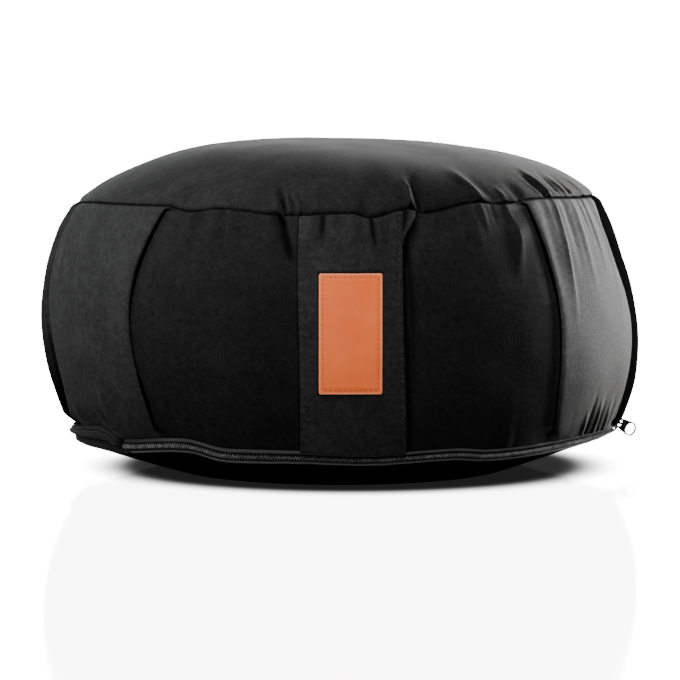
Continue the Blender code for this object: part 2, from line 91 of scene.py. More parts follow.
# How far the flanks swell beyond the round, in their upper and lower half: azimuth, distance
flankUpper = [(-150, 0.0), (-88, 0.0056), (-68, 0.0), (68, 0.0), (88, -0.0018), (150, 0.0)]
flankLower = [(-150, 0.0), (-88, 0.0010), (-68, 0.0), (68, 0.0), (88, 0.0034), (150, 0.0)]

# How far the zip turns under, in degrees: azimuth, tilt
zipTilt = [(-60, 0), (-26, 6), (3, 26), (56, 25), (78, 38), (104, 8), (150, 4)]

# Box pleats, left to right round the cover. faces is the way the folded edge points; edge
# is its azimuth and gap the width in millimetres of the dark opening beside it, both at
# these shares of the side's height; tone is the cloth's up to the next fold, and low its
# tone at the foot where that differs. These tones are painted light and shade: the lit
# strips are painted lighter, the recessed panels and the foot darker, and the recess beside
# the right strip is painted black near it and lighter towards far; the flagged recesses
# take the canvas copy without sheen, as painted shade
foldShares = (0.0, 0.15, 0.3, 0.5, 0.75, 1.0)
folds = [
    {
        "faces": -1, "columns": 26, "tone": 1.6, "gap": (1, 1, 1, 1, 2, 1),
        "edge": (-140.5, -139.5, -138.6, -138.0, -139.0, -141.0),
    },
    {
        "faces": 1, "columns": 22, "tone": 1.6, "low": 0.1, "shadowed": 1.0, "gap": (1, 1, 1, 1, 2, 1),
        "edge": (-107.5, -106.0, -105.0, -104.5, -105.2, -107.0),
    },
    {
        "faces": -1, "columns": 58, "tone": 1.6, "gap": (10, 14, 14, 11, 7, 5), "lift": 0.0014,
        "edge": (-72.0, -69.2, -68.2, -73.0, -75.0, -74.0),
    },
    {
        "faces": 1, "columns": 190, "tone": 0.72, "gap": (0.6, 1.6, 0.3, 0.1, 1.4, 0.8),
        "edge": (-39.5, -40.5, -41.6, -42.5, -41.5, -37.8), "lift": 0.0018,
    },
    {
        "faces": -1, "columns": 90, "tone": 2.65, "low": 0.72, "gap": (0.2, 0.2, 0.2, 0.3, 1.2, 0.6),
        "edge": (45.3, 44.4, 44.4, 45.0, 44.9, 43.4), "lift": 0.0022,
    },
    {
        "faces": 1, "columns": 26, "tone": 0.1, "far": 0.9, "shadowed": 1.0, "gap": (3, 3, 3, 3, 3, 3),
        "lift": 0.0014,
        "edge": (69.0, 69.8, 71.6, 71.6, 70.0, 74.5),
    },
    {
        "faces": -1, "columns": 26, "tone": 1.2, "gap": (1, 1, 1, 1, 2, 1),
        "edge": (107.5, 106.0, 105.0, 104.5, 105.2, 107.0),
    },
    {
        "faces": 1, "columns": 50, "tone": 0.8, "gap": (1, 1, 1, 1, 2, 1),
        "edge": (141.0, 140.2, 139.5, 139.0, 139.6, 142.0),
    },
]
foldCurves = [np.polyfit(foldShares, fold["edge"], 4) for fold in folds]
pleat = {
    "cloth": 0.0011,
    "lift": 0.0030,
    "reach": 0.0065,
    "rise": 0.0020,
    "span": 0.014,
    "upperPoints": 13,
}

# Creases of the side and the top: azimuth at the seam and at the far end, share of the
# length at each, half width and rise in metres
sideCreases = [
    (14.2, 13.2, 0.99, 0.00, 0.0026, -0.0034), (17.0, 14.4, 1.00, 0.76, 0.0026, -0.0036),
    (-11.6, -7.9, 1.00, 0.73, 0.0024, -0.0068), (-13.6, -11.6, 1.00, 0.80, 0.0034, 0.0014),
    (-23.6, -22.3, 1.00, 0.80, 0.0012, -0.0012), (-25.4, -24.5, 1.00, 0.80, 0.0030, 0.0012),
    (-20.2, -16.8, 0.99, 0.86, 0.0050, -0.0016), (-28.4, -28.0, 1.00, 0.84, 0.0026, -0.0009),
    (-31.0, -31.0, 1.00, 0.80, 0.0034, 0.0011), (-35.0, -37.0, 0.99, 0.66, 0.0012, -0.0010),
    (19.5, 19.0, 1.00, 0.84, 0.0030, 0.0007), (25.0, 24.5, 1.00, 0.82, 0.0034, -0.0006),
    (28.6, 29.5, 1.00, 0.78, 0.0030, 0.0008), (31.2, 31.6, 0.99, 0.86, 0.0016, 0.0012),
    (34.0, 34.0, 1.00, 0.88, 0.0016, -0.0010), (37.7, 38.8, 1.00, 0.80, 0.0018, 0.0014),
    (40.2, 36.0, 0.96, 0.66, 0.0034, 0.0022), (47.6, 46.6, 0.99, 0.50, 0.0034, -0.0010),
    (51.7, 48.6, 1.00, 0.42, 0.0017, 0.0013), (55.0, 53.4, 1.00, 0.62, 0.0030, -0.0009),
    (58.5, 57.0, 1.00, 0.56, 0.0028, 0.0010), (61.6, 61.0, 1.00, 0.80, 0.0016, -0.0008),
    (64.6, 63.5, 1.00, 0.66, 0.0020, 0.0011), (67.6, 68.0, 1.00, 0.82, 0.0016, -0.0008),
    (70.0, 67.0, 1.00, 0.45, 0.0022, 0.0009), (73.0, 71.0, 1.00, 0.70, 0.0020, -0.0010),
    (53.6, 54.0, 0.00, 0.12, 0.0014, 0.0012), (55.4, 56.6, 0.00, 0.21, 0.0019, -0.0013),
    (57.8, 59.2, 0.00, 0.17, 0.0013, 0.0014), (60.2, 61.2, 0.00, 0.18, 0.0019, -0.0012),
    (62.6, 63.6, 0.00, 0.15, 0.0013, 0.0012), (64.8, 65.6, 0.00, 0.19, 0.0015, -0.0011),
    (67.8, 68.6, 0.00, 0.15, 0.0014, -0.0010), (71.0, 71.0, 0.00, 0.20, 0.0016, -0.0018),
    (-49.2, -53.4, 0.00, 0.26, 0.0020, 0.0022), (-51.8, -56.0, 0.02, 0.20, 0.0018, -0.0012),
    (-45.0, -47.0, 0.02, 0.40, 0.0034, 0.0008), (-64.0, -64.5, 0.02, 0.16, 0.0026, 0.0010),
    (-71.0, -69.0, 0.90, 0.62, 0.0030, 0.0010),
]
topCreases = [
    (-10.4, -13.4, 1.00, 0.86, 0.0016, -0.0060), (-12.4, -15.2, 1.00, 0.84, 0.0030, 0.0012),
    (-9.3, -12.2, 1.00, 0.87, 0.0012, 0.0014), (-8.2, -11.6, 1.00, 0.88, 0.0009, -0.0030),
    (-7.2, -10.6, 1.00, 0.86, 0.0011, 0.0016), (6.6, 5.8, 1.00, 0.94, 0.0011, -0.0026),
    (9.5, 9.0, 1.00, 0.90, 0.0030, 0.0006), (15.9, 16.9, 1.00, 0.84, 0.0017, 0.0036),
    (17.6, 18.8, 1.00, 0.82, 0.0019, -0.0046), (32.2, 31.0, 1.00, 0.74, 0.0030, 0.0020),
    (35.4, 34.0, 1.00, 0.82, 0.0030, -0.0008), (38.6, 39.0, 1.00, 0.91, 0.0018, 0.0012),
    (42.6, 44.0, 1.00, 0.88, 0.0040, -0.0016), (50.9, 52.4, 1.00, 0.84, 0.0020, -0.0022),
    (52.8, 55.4, 1.00, 0.80, 0.0020, 0.0020), (57.4, 60.6, 0.97, 0.86, 0.0024, -0.0012),
    (60.0, 63.2, 0.99, 0.86, 0.0020, 0.0012), (62.6, 66.0, 0.98, 0.88, 0.0024, -0.0012),
    (70.0, 73.0, 1.00, 0.86, 0.0030, 0.0010), (-52.0, -56.0, 0.98, 0.88, 0.0044, 0.0004),
]
# The hidden half has the same sort of gathers, spread evenly
for turned in range(84, 274, 9):
    slant = 3.0 if turned % 2 else -2.0
    rise = 0.0014 if turned % 4 < 2 else -0.0012
    sideCreases.append((turned, turned - slant, 1.00, 0.72, 0.0030, rise))
    topCreases.append((turned + 3, turned + 3 + slant, 1.00, 0.80, 0.0034, -rise))
    sideCreases.append((turned + 4, turned + 4 + slant, 0.00, 0.16, 0.0022, -rise))

# Painted light and shade on the front and the top: azimuth, share of the light they keep
paintedFrontLight = [
    (-38, 0.95), (-22, 0.85), (-12, 0.60), (0, 0.60), (15, 0.60), (26, 0.62), (36, 0.10),
    (180, 0.10),
]
paintedTopLight = [(-90, 2.5), (-45, 1.35), (0, 1.0), (25, 0.46), (60, 0.40), (120, 0.5), (180, 0.6)]

# Painted shadow line on the cover beside the strap: share, degrees from the strap's edge to
# the line's near and far side
strapShadowLines = {
    "left": [(0.0, -0.1, 0.34), (0.5, -0.1, 0.28), (1.0, -0.1, 0.28)],
    "right": [
        (0.0, -0.3, 1.3), (0.25, -0.3, 1.1), (0.5, -0.3, 0.95), (0.75, -0.3, 0.95),
        (0.86, 0.0, 2.0), (0.93, 0.6, 2.6), (1.0, 1.6, 3.2),
    ],
}

# Small gathers along the seams: waves round the cover, share, phase
puckerWaves = [(31, 0.35, 0.4), (53, 0.5, 2.1), (79, 0.42, 4.4), (127, 0.28, 1.3), (173, 0.18, 5.2)]

# Layers of cloth that fold over the zip at the left: share of the depth, out from the zip's
# face and shade; the hem above them is lifted by so much at each azimuth
hem = {"from": -98.0, "to": -49.0, "slant": 0.88, "slantAfter": 7}
hemLayers = [
    (-0.03, 0.0022, 0.0), (0.045, 0.0008, 0.9), (0.10, 0.0030, 0.0), (0.175, 0.0034, 0.0),
    (0.22, 0.0016, 0.9), (0.28, 0.0044, 0.0), (0.41, 0.0046, 0.0), (0.51, 0.0036, 0.2),
    (0.585, 0.0008, 0.95), (0.66, 0.0012, 0.35), (0.93, 0.0008, 0.45), (1.0, -0.0008, 0.3),
]
hemLift = [
    (-150, 0.0), (-90, 0.0), (-75, 0.0023), (-64, 0.0049), (-57, 0.0062), (-54, 0.0048),
    (-50, 0.0), (0, 0.0),
]
zipBed = {"depth": 0.0022, "half": 0.0044, "gap": 0.0004, "start": -90.0, "end": 108.0}


def smooth(value):
    clipped = np.clip(value, 0.0, 1.0)
    return clipped * clipped * (3 - 2 * clipped)


def wave(table, azimuth):
    # an eased run from each crest or dip to the next
    rows = sorted(table)
    degrees = np.array([row[0] for row in rows] + [rows[0][0] + 360.0])
    values = np.array([row[1] for row in rows] + [rows[0][1]])
    turned = (np.asarray(azimuth, float) - degrees[0]) % 360.0 + degrees[0]
    place = np.clip(np.searchsorted(degrees, turned, side="right") - 1, 0, len(rows) - 1)
    share = (turned - degrees[place]) / (degrees[place + 1] - degrees[place])
    return values[place] + (values[place + 1] - values[place]) * (0.5 - 0.5 * np.cos(math.pi * share))


def through(rim, middle, foot, share):
    # parabola through three values at share 1, 0.5 and 0
    return (
        rim * share * (2 * share - 1)
        + middle * 4 * share * (1 - share)
        + foot * (1 - share) * (1 - 2 * share)
    )


def turnedBy(azimuth, centre):
    return (np.asarray(azimuth, float) - centre + 180.0) % 360.0 - 180.0


def creaseRise(creases, azimuth, share, radius):
    total = np.zeros(np.broadcast(azimuth, share).shape)
    for seamAt, farAt, seamShare, farShare, halfWidth, rise in creases:
        along = (share - seamShare) / (farShare - seamShare)
        centre = seamAt + (farAt - seamAt) * np.clip(along, 0, 1)
        aside = np.radians(turnedBy(azimuth, centre)) * radius / (halfWidth * (0.8 + 0.5 * along))
        fade = smooth((1.02 - along) / 0.7) * smooth((along + 0.05) / 0.07)
        total = total + rise * np.exp(-aside * aside) * fade
    return total


def creaseShade(rise):
    # how much light the bottom of a sharp crease loses
    return 0.9 * smooth((-rise - 0.0016) / 0.0026)


def besideStrap(azimuth, share):
    # the narrow shadow along both edges of the strap
    total = np.zeros(len(azimuth))
    for name, sign in (("left", -1), ("right", 1)):
        shares, nearSide, farSide = zip(*strapShadowLines[name])
        beyond = sign * turnedBy(azimuth, through(*strap[name], share))
        inner = smooth((beyond - np.interp(share, shares, nearSide)) / 0.12 + 0.5)
        outer = smooth((np.interp(share, shares, farSide) - beyond) / 0.30 + 0.5)
        total = np.maximum(total, inner * outer)
    return total


def puckers(azimuth, phase, distance):
    # small gathers that die out away from a seam
    turn = np.radians(azimuth)
    total = sum(size * np.sin(count * turn + shift + phase) for count, size, shift in puckerWaves)
    swell = 0.6 + 0.4 * np.sin(7 * turn + 2.3 * phase)
    near = np.exp(-distance / 0.010) * (1 - np.exp(-distance / 0.0016))
    return cover["puckerSize"] * total * swell * near


def hemHeight(azimuth):
    return wave(zipWave, azimuth) + zipBed["half"]


def droop(azimuth):
    return smooth((azimuth - hem["from"]) / 10.0) * smooth((hem["to"] - azimuth) / 2.0)


def sideRadius(share):
    chord = cover["footRadius"] + (cover["rimRadius"] - cover["footRadius"]) * share
    return chord + cover["bulge"] * 4 * share * (1 - share)


def sidePlace(azimuth, share, out, creased=True):
    # share is 0 at the hem over the zip and 1 at the rim seam
    azimuth, share, out = np.broadcast_arrays(azimuth, share, out)
    radius = sideRadius(share) - wave(footTuck, azimuth) * smooth((0.06 - share) / 0.06)
    swell = wave(flankUpper, azimuth) * share + wave(flankLower, azimuth) * (1 - share)
    radius = radius + swell * 4 * share * (1 - share)
    foot = hemHeight(azimuth)
    height = foot + (wave(rimWave, azimuth) - foot) * share
    if creased:
        radius = radius + creaseRise(sideCreases, azimuth, share, radius)
        radius = radius + puckers(azimuth, 0.0, (1 - share) * cover["sideLength"])
        radius = radius + puckers(azimuth, 1.7, share * cover["sideLength"])
    radius = radius + out
    turn = np.radians(azimuth)
    return np.stack(
        [
            radius * np.sin(turn) + cover["lean"] * np.cos(math.pi * share),
            -radius * np.cos(turn),
            height,
        ],
        axis=-1,
    )


def zipPlace(azimuth, out, down):
    # out from the zip's face, and down from the hem
    tilt = np.radians(wave(zipTilt, azimuth))
    place = sidePlace(azimuth, 0.0, out * np.cos(tilt) - down * np.sin(tilt), creased=False)
    place[..., 2] -= down * np.cos(tilt) + out * np.sin(tilt)
    return place


def crownPlace(azimuth, share, sink):
    # share is 0 at the middle of the top and 1 at the rim seam
    azimuth, share, sink = np.broadcast_arrays(azimuth, share, sink)
    turn = np.radians(azimuth)
    radius = cover["rimRadius"] * share
    rimMean = sum(row[1] for row in rimWave) / len(rimWave)
    soft, sharp = cover["crownPowersRight"]
    right = cover["crownSplitRight"] * share**soft + (1 - cover["crownSplitRight"]) * share**sharp
    left = share ** cover["crownPowerLeft"]
    drop = left + (right - left) * (0.5 + 0.5 * np.sin(turn))
    height = cover["topHeight"] - (cover["topHeight"] - rimMean) * drop
    height = height + (wave(rimWave, azimuth) - rimMean) * share**9 - sink
    height = height + creaseRise(topCreases, azimuth, share, radius)
    height = height + puckers(azimuth, 3.1, (1 - share) * cover["rimRadius"])
    shift = cover["crownShift"] + (-cover["lean"] - cover["crownShift"]) * share**2
    return np.stack([radius * np.sin(turn) + shift, -radius * np.cos(turn), height], axis=-1)


def basePlace(azimuth, share):
    # share is 1 at the zip's lower edge and 0 where the cover meets the floor
    azimuth, share = np.broadcast_arrays(azimuth, share)
    edge = zipPlace(azimuth, -cover["baseStep"], 2 * zipBed["half"])
    turn = np.radians(azimuth)
    floor = cover["contactRadius"] * np.stack([np.sin(turn), -np.cos(turn), 0 * turn], axis=-1)
    place = floor + (edge - floor) * share[..., None]
    place[..., 2] = edge[..., 2] * share ** cover["basePower"]
    return place


def foldSection(share, gap, raised):
    # points across one fold as (along, out, shade), from the upper layer to the lower;
    # shade is how much light the pocket loses
    closed = smooth(share / 0.06) * smooth((1 - share) / 0.03)
    lift = 0.0012 + (raised - 0.0012) * closed + 0.2 * min(gap, 0.004) * closed
    thick = 2 * pleat["cloth"] * (0.4 + 0.6 * closed)
    under = -0.0004 - min(gap, 0.005) * closed
    span, reach, nose = pleat["span"], pleat["reach"], thick / 2
    rows = []
    for step in range(6):
        near = 1 - step / 6
        out = lift + (pleat["rise"] - lift) * smooth(near * 1.1)
        rows.append((-nose - (span - nose) * near, out, 0.0))
    for degrees in range(90, -91, -30):
        angle = math.radians(degrees)
        place = (-nose + nose * math.cos(angle), lift - nose + nose * math.sin(angle))
        rows.append((*place, max(0.0, 0.30 - 0.4 * math.sin(angle))))
    low = lift - thick
    rows.append((-0.5 * reach, low + 0.3 * (under - low), 1.0))
    rows.append((-0.92 * reach, 0.35 * low + 0.65 * under, 1.0))
    rows.append((-reach, 0.2 * low + 0.8 * under, 1.0))
    rows.append((-0.92 * reach, under + 0.0001, 1.0))
    rows.append((-0.5 * reach, under, 1.0))
    for part in (0.0, 0.55, 1.0, 1.5):
        level = under * (1 - 0.8 * smooth((part - 0.4) / 1.1))
        rows.append((part * gap + 0.0002, level, smooth((1.5 - part) / 0.8)))
    rows.append((max(span, 1.6 * gap), 0.0, 0.0))
    spread = np.linspace(-span, span, len(rows))
    return [
        (even + (along - even) * closed, out, shade * closed)
        for even, (along, out, shade) in zip(spread, rows)
    ]


def toneAt(fold, share):
    # the fold's painted tone, darker towards the foot where low is given
    low = fold.get("low", fold["tone"])
    return low + (fold["tone"] - low) * smooth((share - 0.05) / 0.5)


def ringColumns(share):
    # azimuth, out, painted shade, painted tone and whether it takes the shaded canvas, of each
    # column of the side at one share of its height
    edges = [float(np.polyval(curve, share)) for curve in foldCurves]
    radius = sideRadius(share)
    columns = []
    for index, fold in enumerate(folds):
        gap = 0.001 * float(np.interp(share, foldShares, fold["gap"]))
        points = foldSection(share, gap, fold.get("lift", pleat["lift"]))
        here = toneAt(fold, share)
        before = folds[index - 1].get("far", toneAt(folds[index - 1], share))
        upper = pleat["upperPoints"]
        shadowedHere = fold.get("shadowed", 0.0)
        shadowedBefore = 0.0 if "far" in folds[index - 1] else folds[index - 1].get("shadowed", 0.0)
        tones = [(before, shadowedBefore)] * upper + [(here, shadowedHere)] * (len(points) - upper)
        if fold["faces"] < 0:
            points = [(-along, out, shade) for along, out, shade in reversed(points)]
            tones = [(before, shadowedBefore)] * (len(points) - upper) + [(here, shadowedHere)] * upper
        for (along, out, shade), (tone, shadowed) in zip(points, tones):
            columns.append((edges[index] + math.degrees(along / radius), out, shade, tone, shadowed))
        last = index + 1 == len(folds)
        start = columns[-1][0]
        following = edges[0] + 360.0 if last else edges[index + 1]
        stop = following - math.degrees(pleat["span"] / radius)
        level = pleat["rise"] if fold["faces"] < 0 else 0.0
        for step in range(fold["columns"]):
            part = (step + 1) / (fold["columns"] + 1)
            turned = smooth((part - 0.30) / 0.42) if "far" in fold else 0.0
            tone = here + (fold.get("far", here) - here) * turned
            columns.append((start + (stop - start) * part, level, 0.0, tone, shadowedHere * (1 - turned)))
    return np.array(columns)


def lumps(places, size, seed):
    # soft unevenness of a filled cover, the same at each run
    broad = [noise.noise(Vector(place) * 17.0 + Vector((seed, 0, 0))) for place in places]
    fine = [noise.noise(Vector(place) * 46.0 + Vector((0, seed, 0))) for place in places]
    return size * (np.array(broad) + 0.35 * np.array(fine))


def rowShares(count, spread, length, bothEnds):
    # shares that fall from 1 to 0, packed close together by the seams; spread is how much
    # wider than even the rows far from a seam stand
    order = np.arange(count)
    steps = np.minimum(0.00035 * 1.22**order, spread * length / count)
    if bothEnds:
        steps = np.minimum(steps, 0.0005 * 1.3 ** order[::-1])
    places = np.concatenate([[0.0], steps.cumsum()])
    return 1 - places / places[-1]


def seamDip(distance):
    return math.exp(-((distance / cover["seamWidth"]) ** 1.3))


def seamDark(distance):
    return math.exp(-((distance / cover["seamLine"]) ** 2.4))


def pushOut(place, azimuth, distance):
    # straight away from the cushion's middle
    turn = np.radians(azimuth)
    place[:, 0] += distance * np.sin(turn)
    place[:, 1] -= distance * np.cos(turn)


def ring(place, shade, tone, shadowed, flat=None):
    flat = place[:, :2].copy() if flat is None else flat
    return {"place": place, "flat": flat, "shade": shade, "tone": tone, "shadowed": shadowed}


def clothFlat(azimuth, radius, up):
    # cloth coordinates of a row of points round the cushion, in metres
    return np.stack([np.radians(azimuth) * radius, 0 * azimuth + up], axis=-1)


def crownRings(rim, even):
    # from the middle of the top to the rim seam
    rings = []
    middle = cover["paintedMiddleLight"]
    shares = rowShares(cover["crownRows"], cover["crownSpread"], cover["rimRadius"], bothEnds=False)
    for share in shares[::-1]:
        azimuth = rim + (even - rim) * smooth((0.95 - share) / 0.5)
        distance = (1 - share) * cover["rimRadius"]
        dip = cover["seamDepth"] * seamDip(distance)
        place = crownPlace(azimuth, share, dip)
        pushOut(place, azimuth, -0.5 * dip)
        place[:, 2] += lumps(place, cover["lumpSize"], 5.0) * smooth((0.99 - share) / 0.1)
        # painted shade along the rim seam and in the deep creases
        line = seamDark(distance)
        rise = creaseRise(topCreases, azimuth, share, cover["rimRadius"] * share)
        shade = np.maximum(line, creaseShade(rise))
        # painted light: the top's tone changes round it by azimuth, lightest at the left, and its middle has
        # its own painted level
        tone = middle + (wave(paintedTopLight, azimuth) - middle) * smooth(share / 0.6)
        rings.append(ring(place, shade, tone, 0 * azimuth + line))
    return rings


def sideRings():
    # from the rim seam to the hem over the zip
    rings = []
    length = cover["sideLength"]
    for share in rowShares(cover["sideRows"], cover["sideSpread"], length, bothEnds=True)[1:]:
        azimuth, out, pocket, cloth, shadowed = ringColumns(share).T
        distance = (1 - share) * length
        place = sidePlace(azimuth, share, out - cover["seamDepth"] * seamDip(distance))
        place[:, 2] += wave(hemLift, azimuth) * smooth((0.16 - share) / 0.16)
        fade = smooth((0.995 - share) / 0.06) * smooth(share / 0.08)
        pushOut(place, azimuth, lumps(place, cover["lumpSize"], 11.0) * fade)
        # painted shade: in the pockets, along the rim seam, at the hem's edge, in the deep creases and
        # beside the strap
        shade = np.maximum(pocket, max(seamDark(distance), 0.7 * math.exp(-share * length / 0.0008)))
        shadowed = np.maximum(shadowed, shade)
        shade = np.maximum(shade, creaseShade(creaseRise(sideCreases, azimuth, share, sideRadius(share))))
        shade = np.maximum(shade, besideStrap(azimuth, share))
        # painted light and shade: the cloth darkens towards its foot, and on the front also away from its
        # lit side
        front = (azimuth > -38) & (azimuth < 44)
        across = np.where(front, wave(paintedFrontLight, azimuth), 1.0)
        across = 1 + (across - 1) * (1 - smooth((share - 0.6) / 0.35))
        tone = cloth * across * (0.70 + 0.30 * smooth(share / 0.4) + 0.25 * share)
        flat = clothFlat(azimuth, cover["clothRadius"], share * length)
        rings.append(ring(place, shade, tone, shadowed, flat))
    return rings


def hemRings(foot):
    # the zip's bed, and at the left the layers that fold over it
    rings = []
    lift = wave(hemLift, foot)
    depth = 2 * zipBed["half"]
    for index, (part, layer, dark) in enumerate(hemLayers):
        hang = droop(foot - hem["slant"] * max(index - hem["slantAfter"], 0))
        bed = -0.0004 if index == 0 else -zipBed["depth"]
        plain = -0.0006 if index == 0 else depth * (index - 1) / (len(hemLayers) - 2)
        down = plain + (part * (depth + lift) - lift - plain) * hang
        place = zipPlace(foot, bed + (layer - bed) * hang, down)
        flat = clothFlat(foot, cover["clothRadius"], -down)
        rings.append(ring(place, 1 + (dark - 1) * hang, 0 * foot + 1.0, 0 * foot, flat))
    return rings


def baseRings(foot, even):
    # from the zip's lower edge to the middle of the underside
    rings = []
    bare = 0 * foot
    for step in range(cover["baseRows"] + 1):
        share = 1 - step / cover["baseRows"]
        azimuth = foot + (even - foot) * smooth((0.95 - share) / 0.8)
        place = basePlace(azimuth, share)
        place[:, 2] += puckers(azimuth, 5.0, (1 - share) * 0.066 + 0.0001) * smooth(share / 0.3)
        # painted light and shade: the underside is painted near black on the shaded canvas, lighter towards
        # the zip, and painted lit on the right by the zip, where it leaves the shaded canvas
        lit = smooth((azimuth - 40.0) / 24.0) * smooth((share - 0.80) / 0.16)
        front = 0.34 * smooth((share - 0.3) / 0.5)
        rings.append(ring(place, bare, 0.08 + front + 2.6 * lit, 1 - lit))
    for share in (0.75, 0.5, 0.25, 0.0):
        rings.append(ring(basePlace(even, 0.0) * share, bare, bare + 0.1, bare + 1.0))
    return rings


def coverRings():
    rim = ringColumns(1.0)[:, 0]
    foot = ringColumns(0.0)[:, 0]
    even = rim[0] + 360.0 * np.arange(len(rim)) / len(rim)
    return crownRings(rim, even) + sideRings() + hemRings(foot) + baseRings(foot, even)


def meshObject(name, work, material, angle=50):
    bmesh.ops.recalc_face_normals(work, faces=work.faces)
    mesh = bpy.data.meshes.new(name)
    work.to_mesh(mesh)
    work.free()
    mesh.materials.append(material)
    mesh.shade_smooth()
    mesh.set_sharp_from_angle(angle=math.radians(angle))
    made = bpy.data.objects.new(name, mesh)
    bpy.context.scene.collection.objects.link(made)
    return made


def gridMesh(rows, closed):
    # a bmesh grid whose vertices are moved to the rows' places; closed makes each row a ring
    count, depth = len(rows[0]["place"]), len(rows)
    across = count if closed else count - 1
    work = bmesh.new()
    bmesh.ops.create_grid(work, x_segments=across, y_segments=depth - 1, size=1.0)
    clothLayer = work.loops.layers.uv.new("cloth")
    masks = [name for name in ("shade", "tone", "paleEdge", "shadowed") if name in rows[0]]
    layers = {name: work.verts.layers.float.new(name) for name in masks}
    flats = {}
    for vert in work.verts:
        column = round((vert.co.x + 1) / 2 * across)
        row = rows[round((vert.co.y + 1) / 2 * (depth - 1))]
        wrapped = column % count
        vert.co = row["place"][wrapped]
        for name in masks:
            vert[layers[name]] = row[name][wrapped]
        u, v = row["flat"][wrapped]
        if column == count and abs(row["flat"][0][0] - row["flat"][-1][0]) > 0.5:
            u += 2 * math.pi * cover["clothRadius"]
        flats[vert] = (u, v)
    for face in work.faces:
        for loop in face.loops:
            loop[clothLayer].uv = flats[loop.vert]
    return work


def buildCover(material, shadedMaterial):
    # the shaded canvas is a copy with no sheen, as painted shade for the seams, the pockets, the recessed
    # panels and the underside
    work = gridMesh(coverRings(), closed=True)
    bmesh.ops.remove_doubles(work, verts=work.verts, dist=1e-6)
    shadowed = work.verts.layers.float["shadowed"]
    for face in work.faces:
        if sum(vert[shadowed] for vert in face.verts) > 0.45 * len(face.verts):
            face.material_index = 1
    made = meshObject("cushionCover", work, material)
    made.data.materials.append(shadedMaterial)
    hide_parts("cushion_body")
    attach(made, "root")
    print("cover:", len(made.data.polygons), "faces")
    return made


# Shader groups

def groupWith(name, inputs, outputs):
    tree = bpy.data.node_groups.new(name, "ShaderNodeTree")
    for socketName, kind, value in inputs:
        socket = tree.interface.new_socket(socketName, in_out="INPUT", socket_type=kind)
        if value is not None:
            socket.default_value = value
    for socketName, kind in outputs:
        tree.interface.new_socket(socketName, in_out="OUTPUT", socket_type=kind)
    return tree, tree.nodes.new("NodeGroupInput"), tree.nodes.new("NodeGroupOutput")


def feed(tree, node, values):
    # each value is a constant or another node's output
    for socket, value in dict(values).items():
        if hasattr(value, "links"):
            tree.links.new(value, node.inputs[socket])
        else:
            node.inputs[socket].default_value = value


def addNode(tree, kind, values=(), **settings):
    node = tree.nodes.new("ShaderNode" + kind)
    for name, setting in settings.items():
        setattr(node, name, setting)
    feed(tree, node, values)
    return node


def mathNode(tree, operation, *values):
    return addNode(tree, "Math", enumerate(values), operation=operation).outputs[0]


def mixColour(tree, factor, first, second):
    return addNode(tree, "Mix", {0: factor, 6: first, 7: second}, data_type="RGBA").outputs[2]


def noiseNode(tree, vector, scale, detail=3.0, roughness=0.55):
    values = {"Vector": vector, "Scale": scale, "Detail": detail, "Roughness": roughness}
    return addNode(tree, "TexNoise", values).outputs["Fac"]


def stretched(tree, vector, scale, shift=(0.0, 0.0, 0.0)):
    values = {"Vector": vector, "Scale": scale, "Location": shift}
    return addNode(tree, "Mapping", values).outputs["Vector"]


def ramp(tree, value, low, high):
    values = {"Value": value, "From Min": low, "From Max": high}
    return addNode(tree, "MapRange", values, interpolation_type="SMOOTHSTEP").outputs["Result"]


def bump(tree, height, strength, distance):
    values = {"Height": height, "Strength": strength, "Distance": distance}
    return addNode(tree, "Bump", values).outputs["Normal"]


def attribute(tree, name):
    return addNode(tree, "Attribute", attribute_name=name).outputs["Fac"]


def clothVector(tree):
    return addNode(tree, "UVMap", uv_map="cloth").outputs["UV"]


def objectVector(tree):
    return addNode(tree, "TexCoord").outputs["Object"]


def makeWeaveGroup():
    # plain weave on cloth coordinates in metres: thread height, slub and mottle masks
    tree, given, out = groupWith(
        "plainWeave",
        [("Vector", "NodeSocketVector", None), ("Threads", "NodeSocketFloat", 1800.0)],
        [
            ("Height", "NodeSocketFloat"), ("Slub", "NodeSocketFloat"),
            ("Mottle", "NodeSocketFloat"), ("Speck", "NodeSocketFloat"),
        ],
    )
    cloth = given.outputs["Vector"]
    split = addNode(tree, "SeparateXYZ", {0: cloth})
    turns = mathNode(tree, "MULTIPLY", given.outputs["Threads"], math.pi)
    warp = mathNode(tree, "SINE", mathNode(tree, "MULTIPLY", split.outputs["X"], turns))
    weft = mathNode(tree, "SINE", mathNode(tree, "MULTIPLY", split.outputs["Y"], turns))
    checks = mathNode(tree, "MULTIPLY", warp, weft)
    along = noiseNode(tree, stretched(tree, cloth, (1.0, 7.0, 1.0)), 260.0)
    across = noiseNode(tree, stretched(tree, cloth, (7.0, 1.0, 1.0)), 260.0)
    slub = ramp(tree, mathNode(tree, "MAXIMUM", along, across), 0.50, 0.74)
    fine = noiseNode(tree, cloth, 230.0, 5.0, 0.72)
    broad = noiseNode(tree, cloth, 62.0, 4.0, 0.6)
    cloud = mathNode(tree, "MULTIPLY_ADD", broad, 0.4, mathNode(tree, "MULTIPLY", fine, 0.6))
    speck = noiseNode(tree, stretched(tree, cloth, (1.0, 0.6, 1.0)), 430.0, 3.0, 0.6)
    feed(tree, out, {
        "Height": mathNode(tree, "MULTIPLY_ADD", checks, 0.22, mathNode(tree, "MULTIPLY", slub, 0.8)),
        "Slub": slub,
        "Mottle": ramp(tree, cloud, 0.36, 0.64),
        "Speck": ramp(tree, speck, 0.56, 0.68),
    })
    return tree


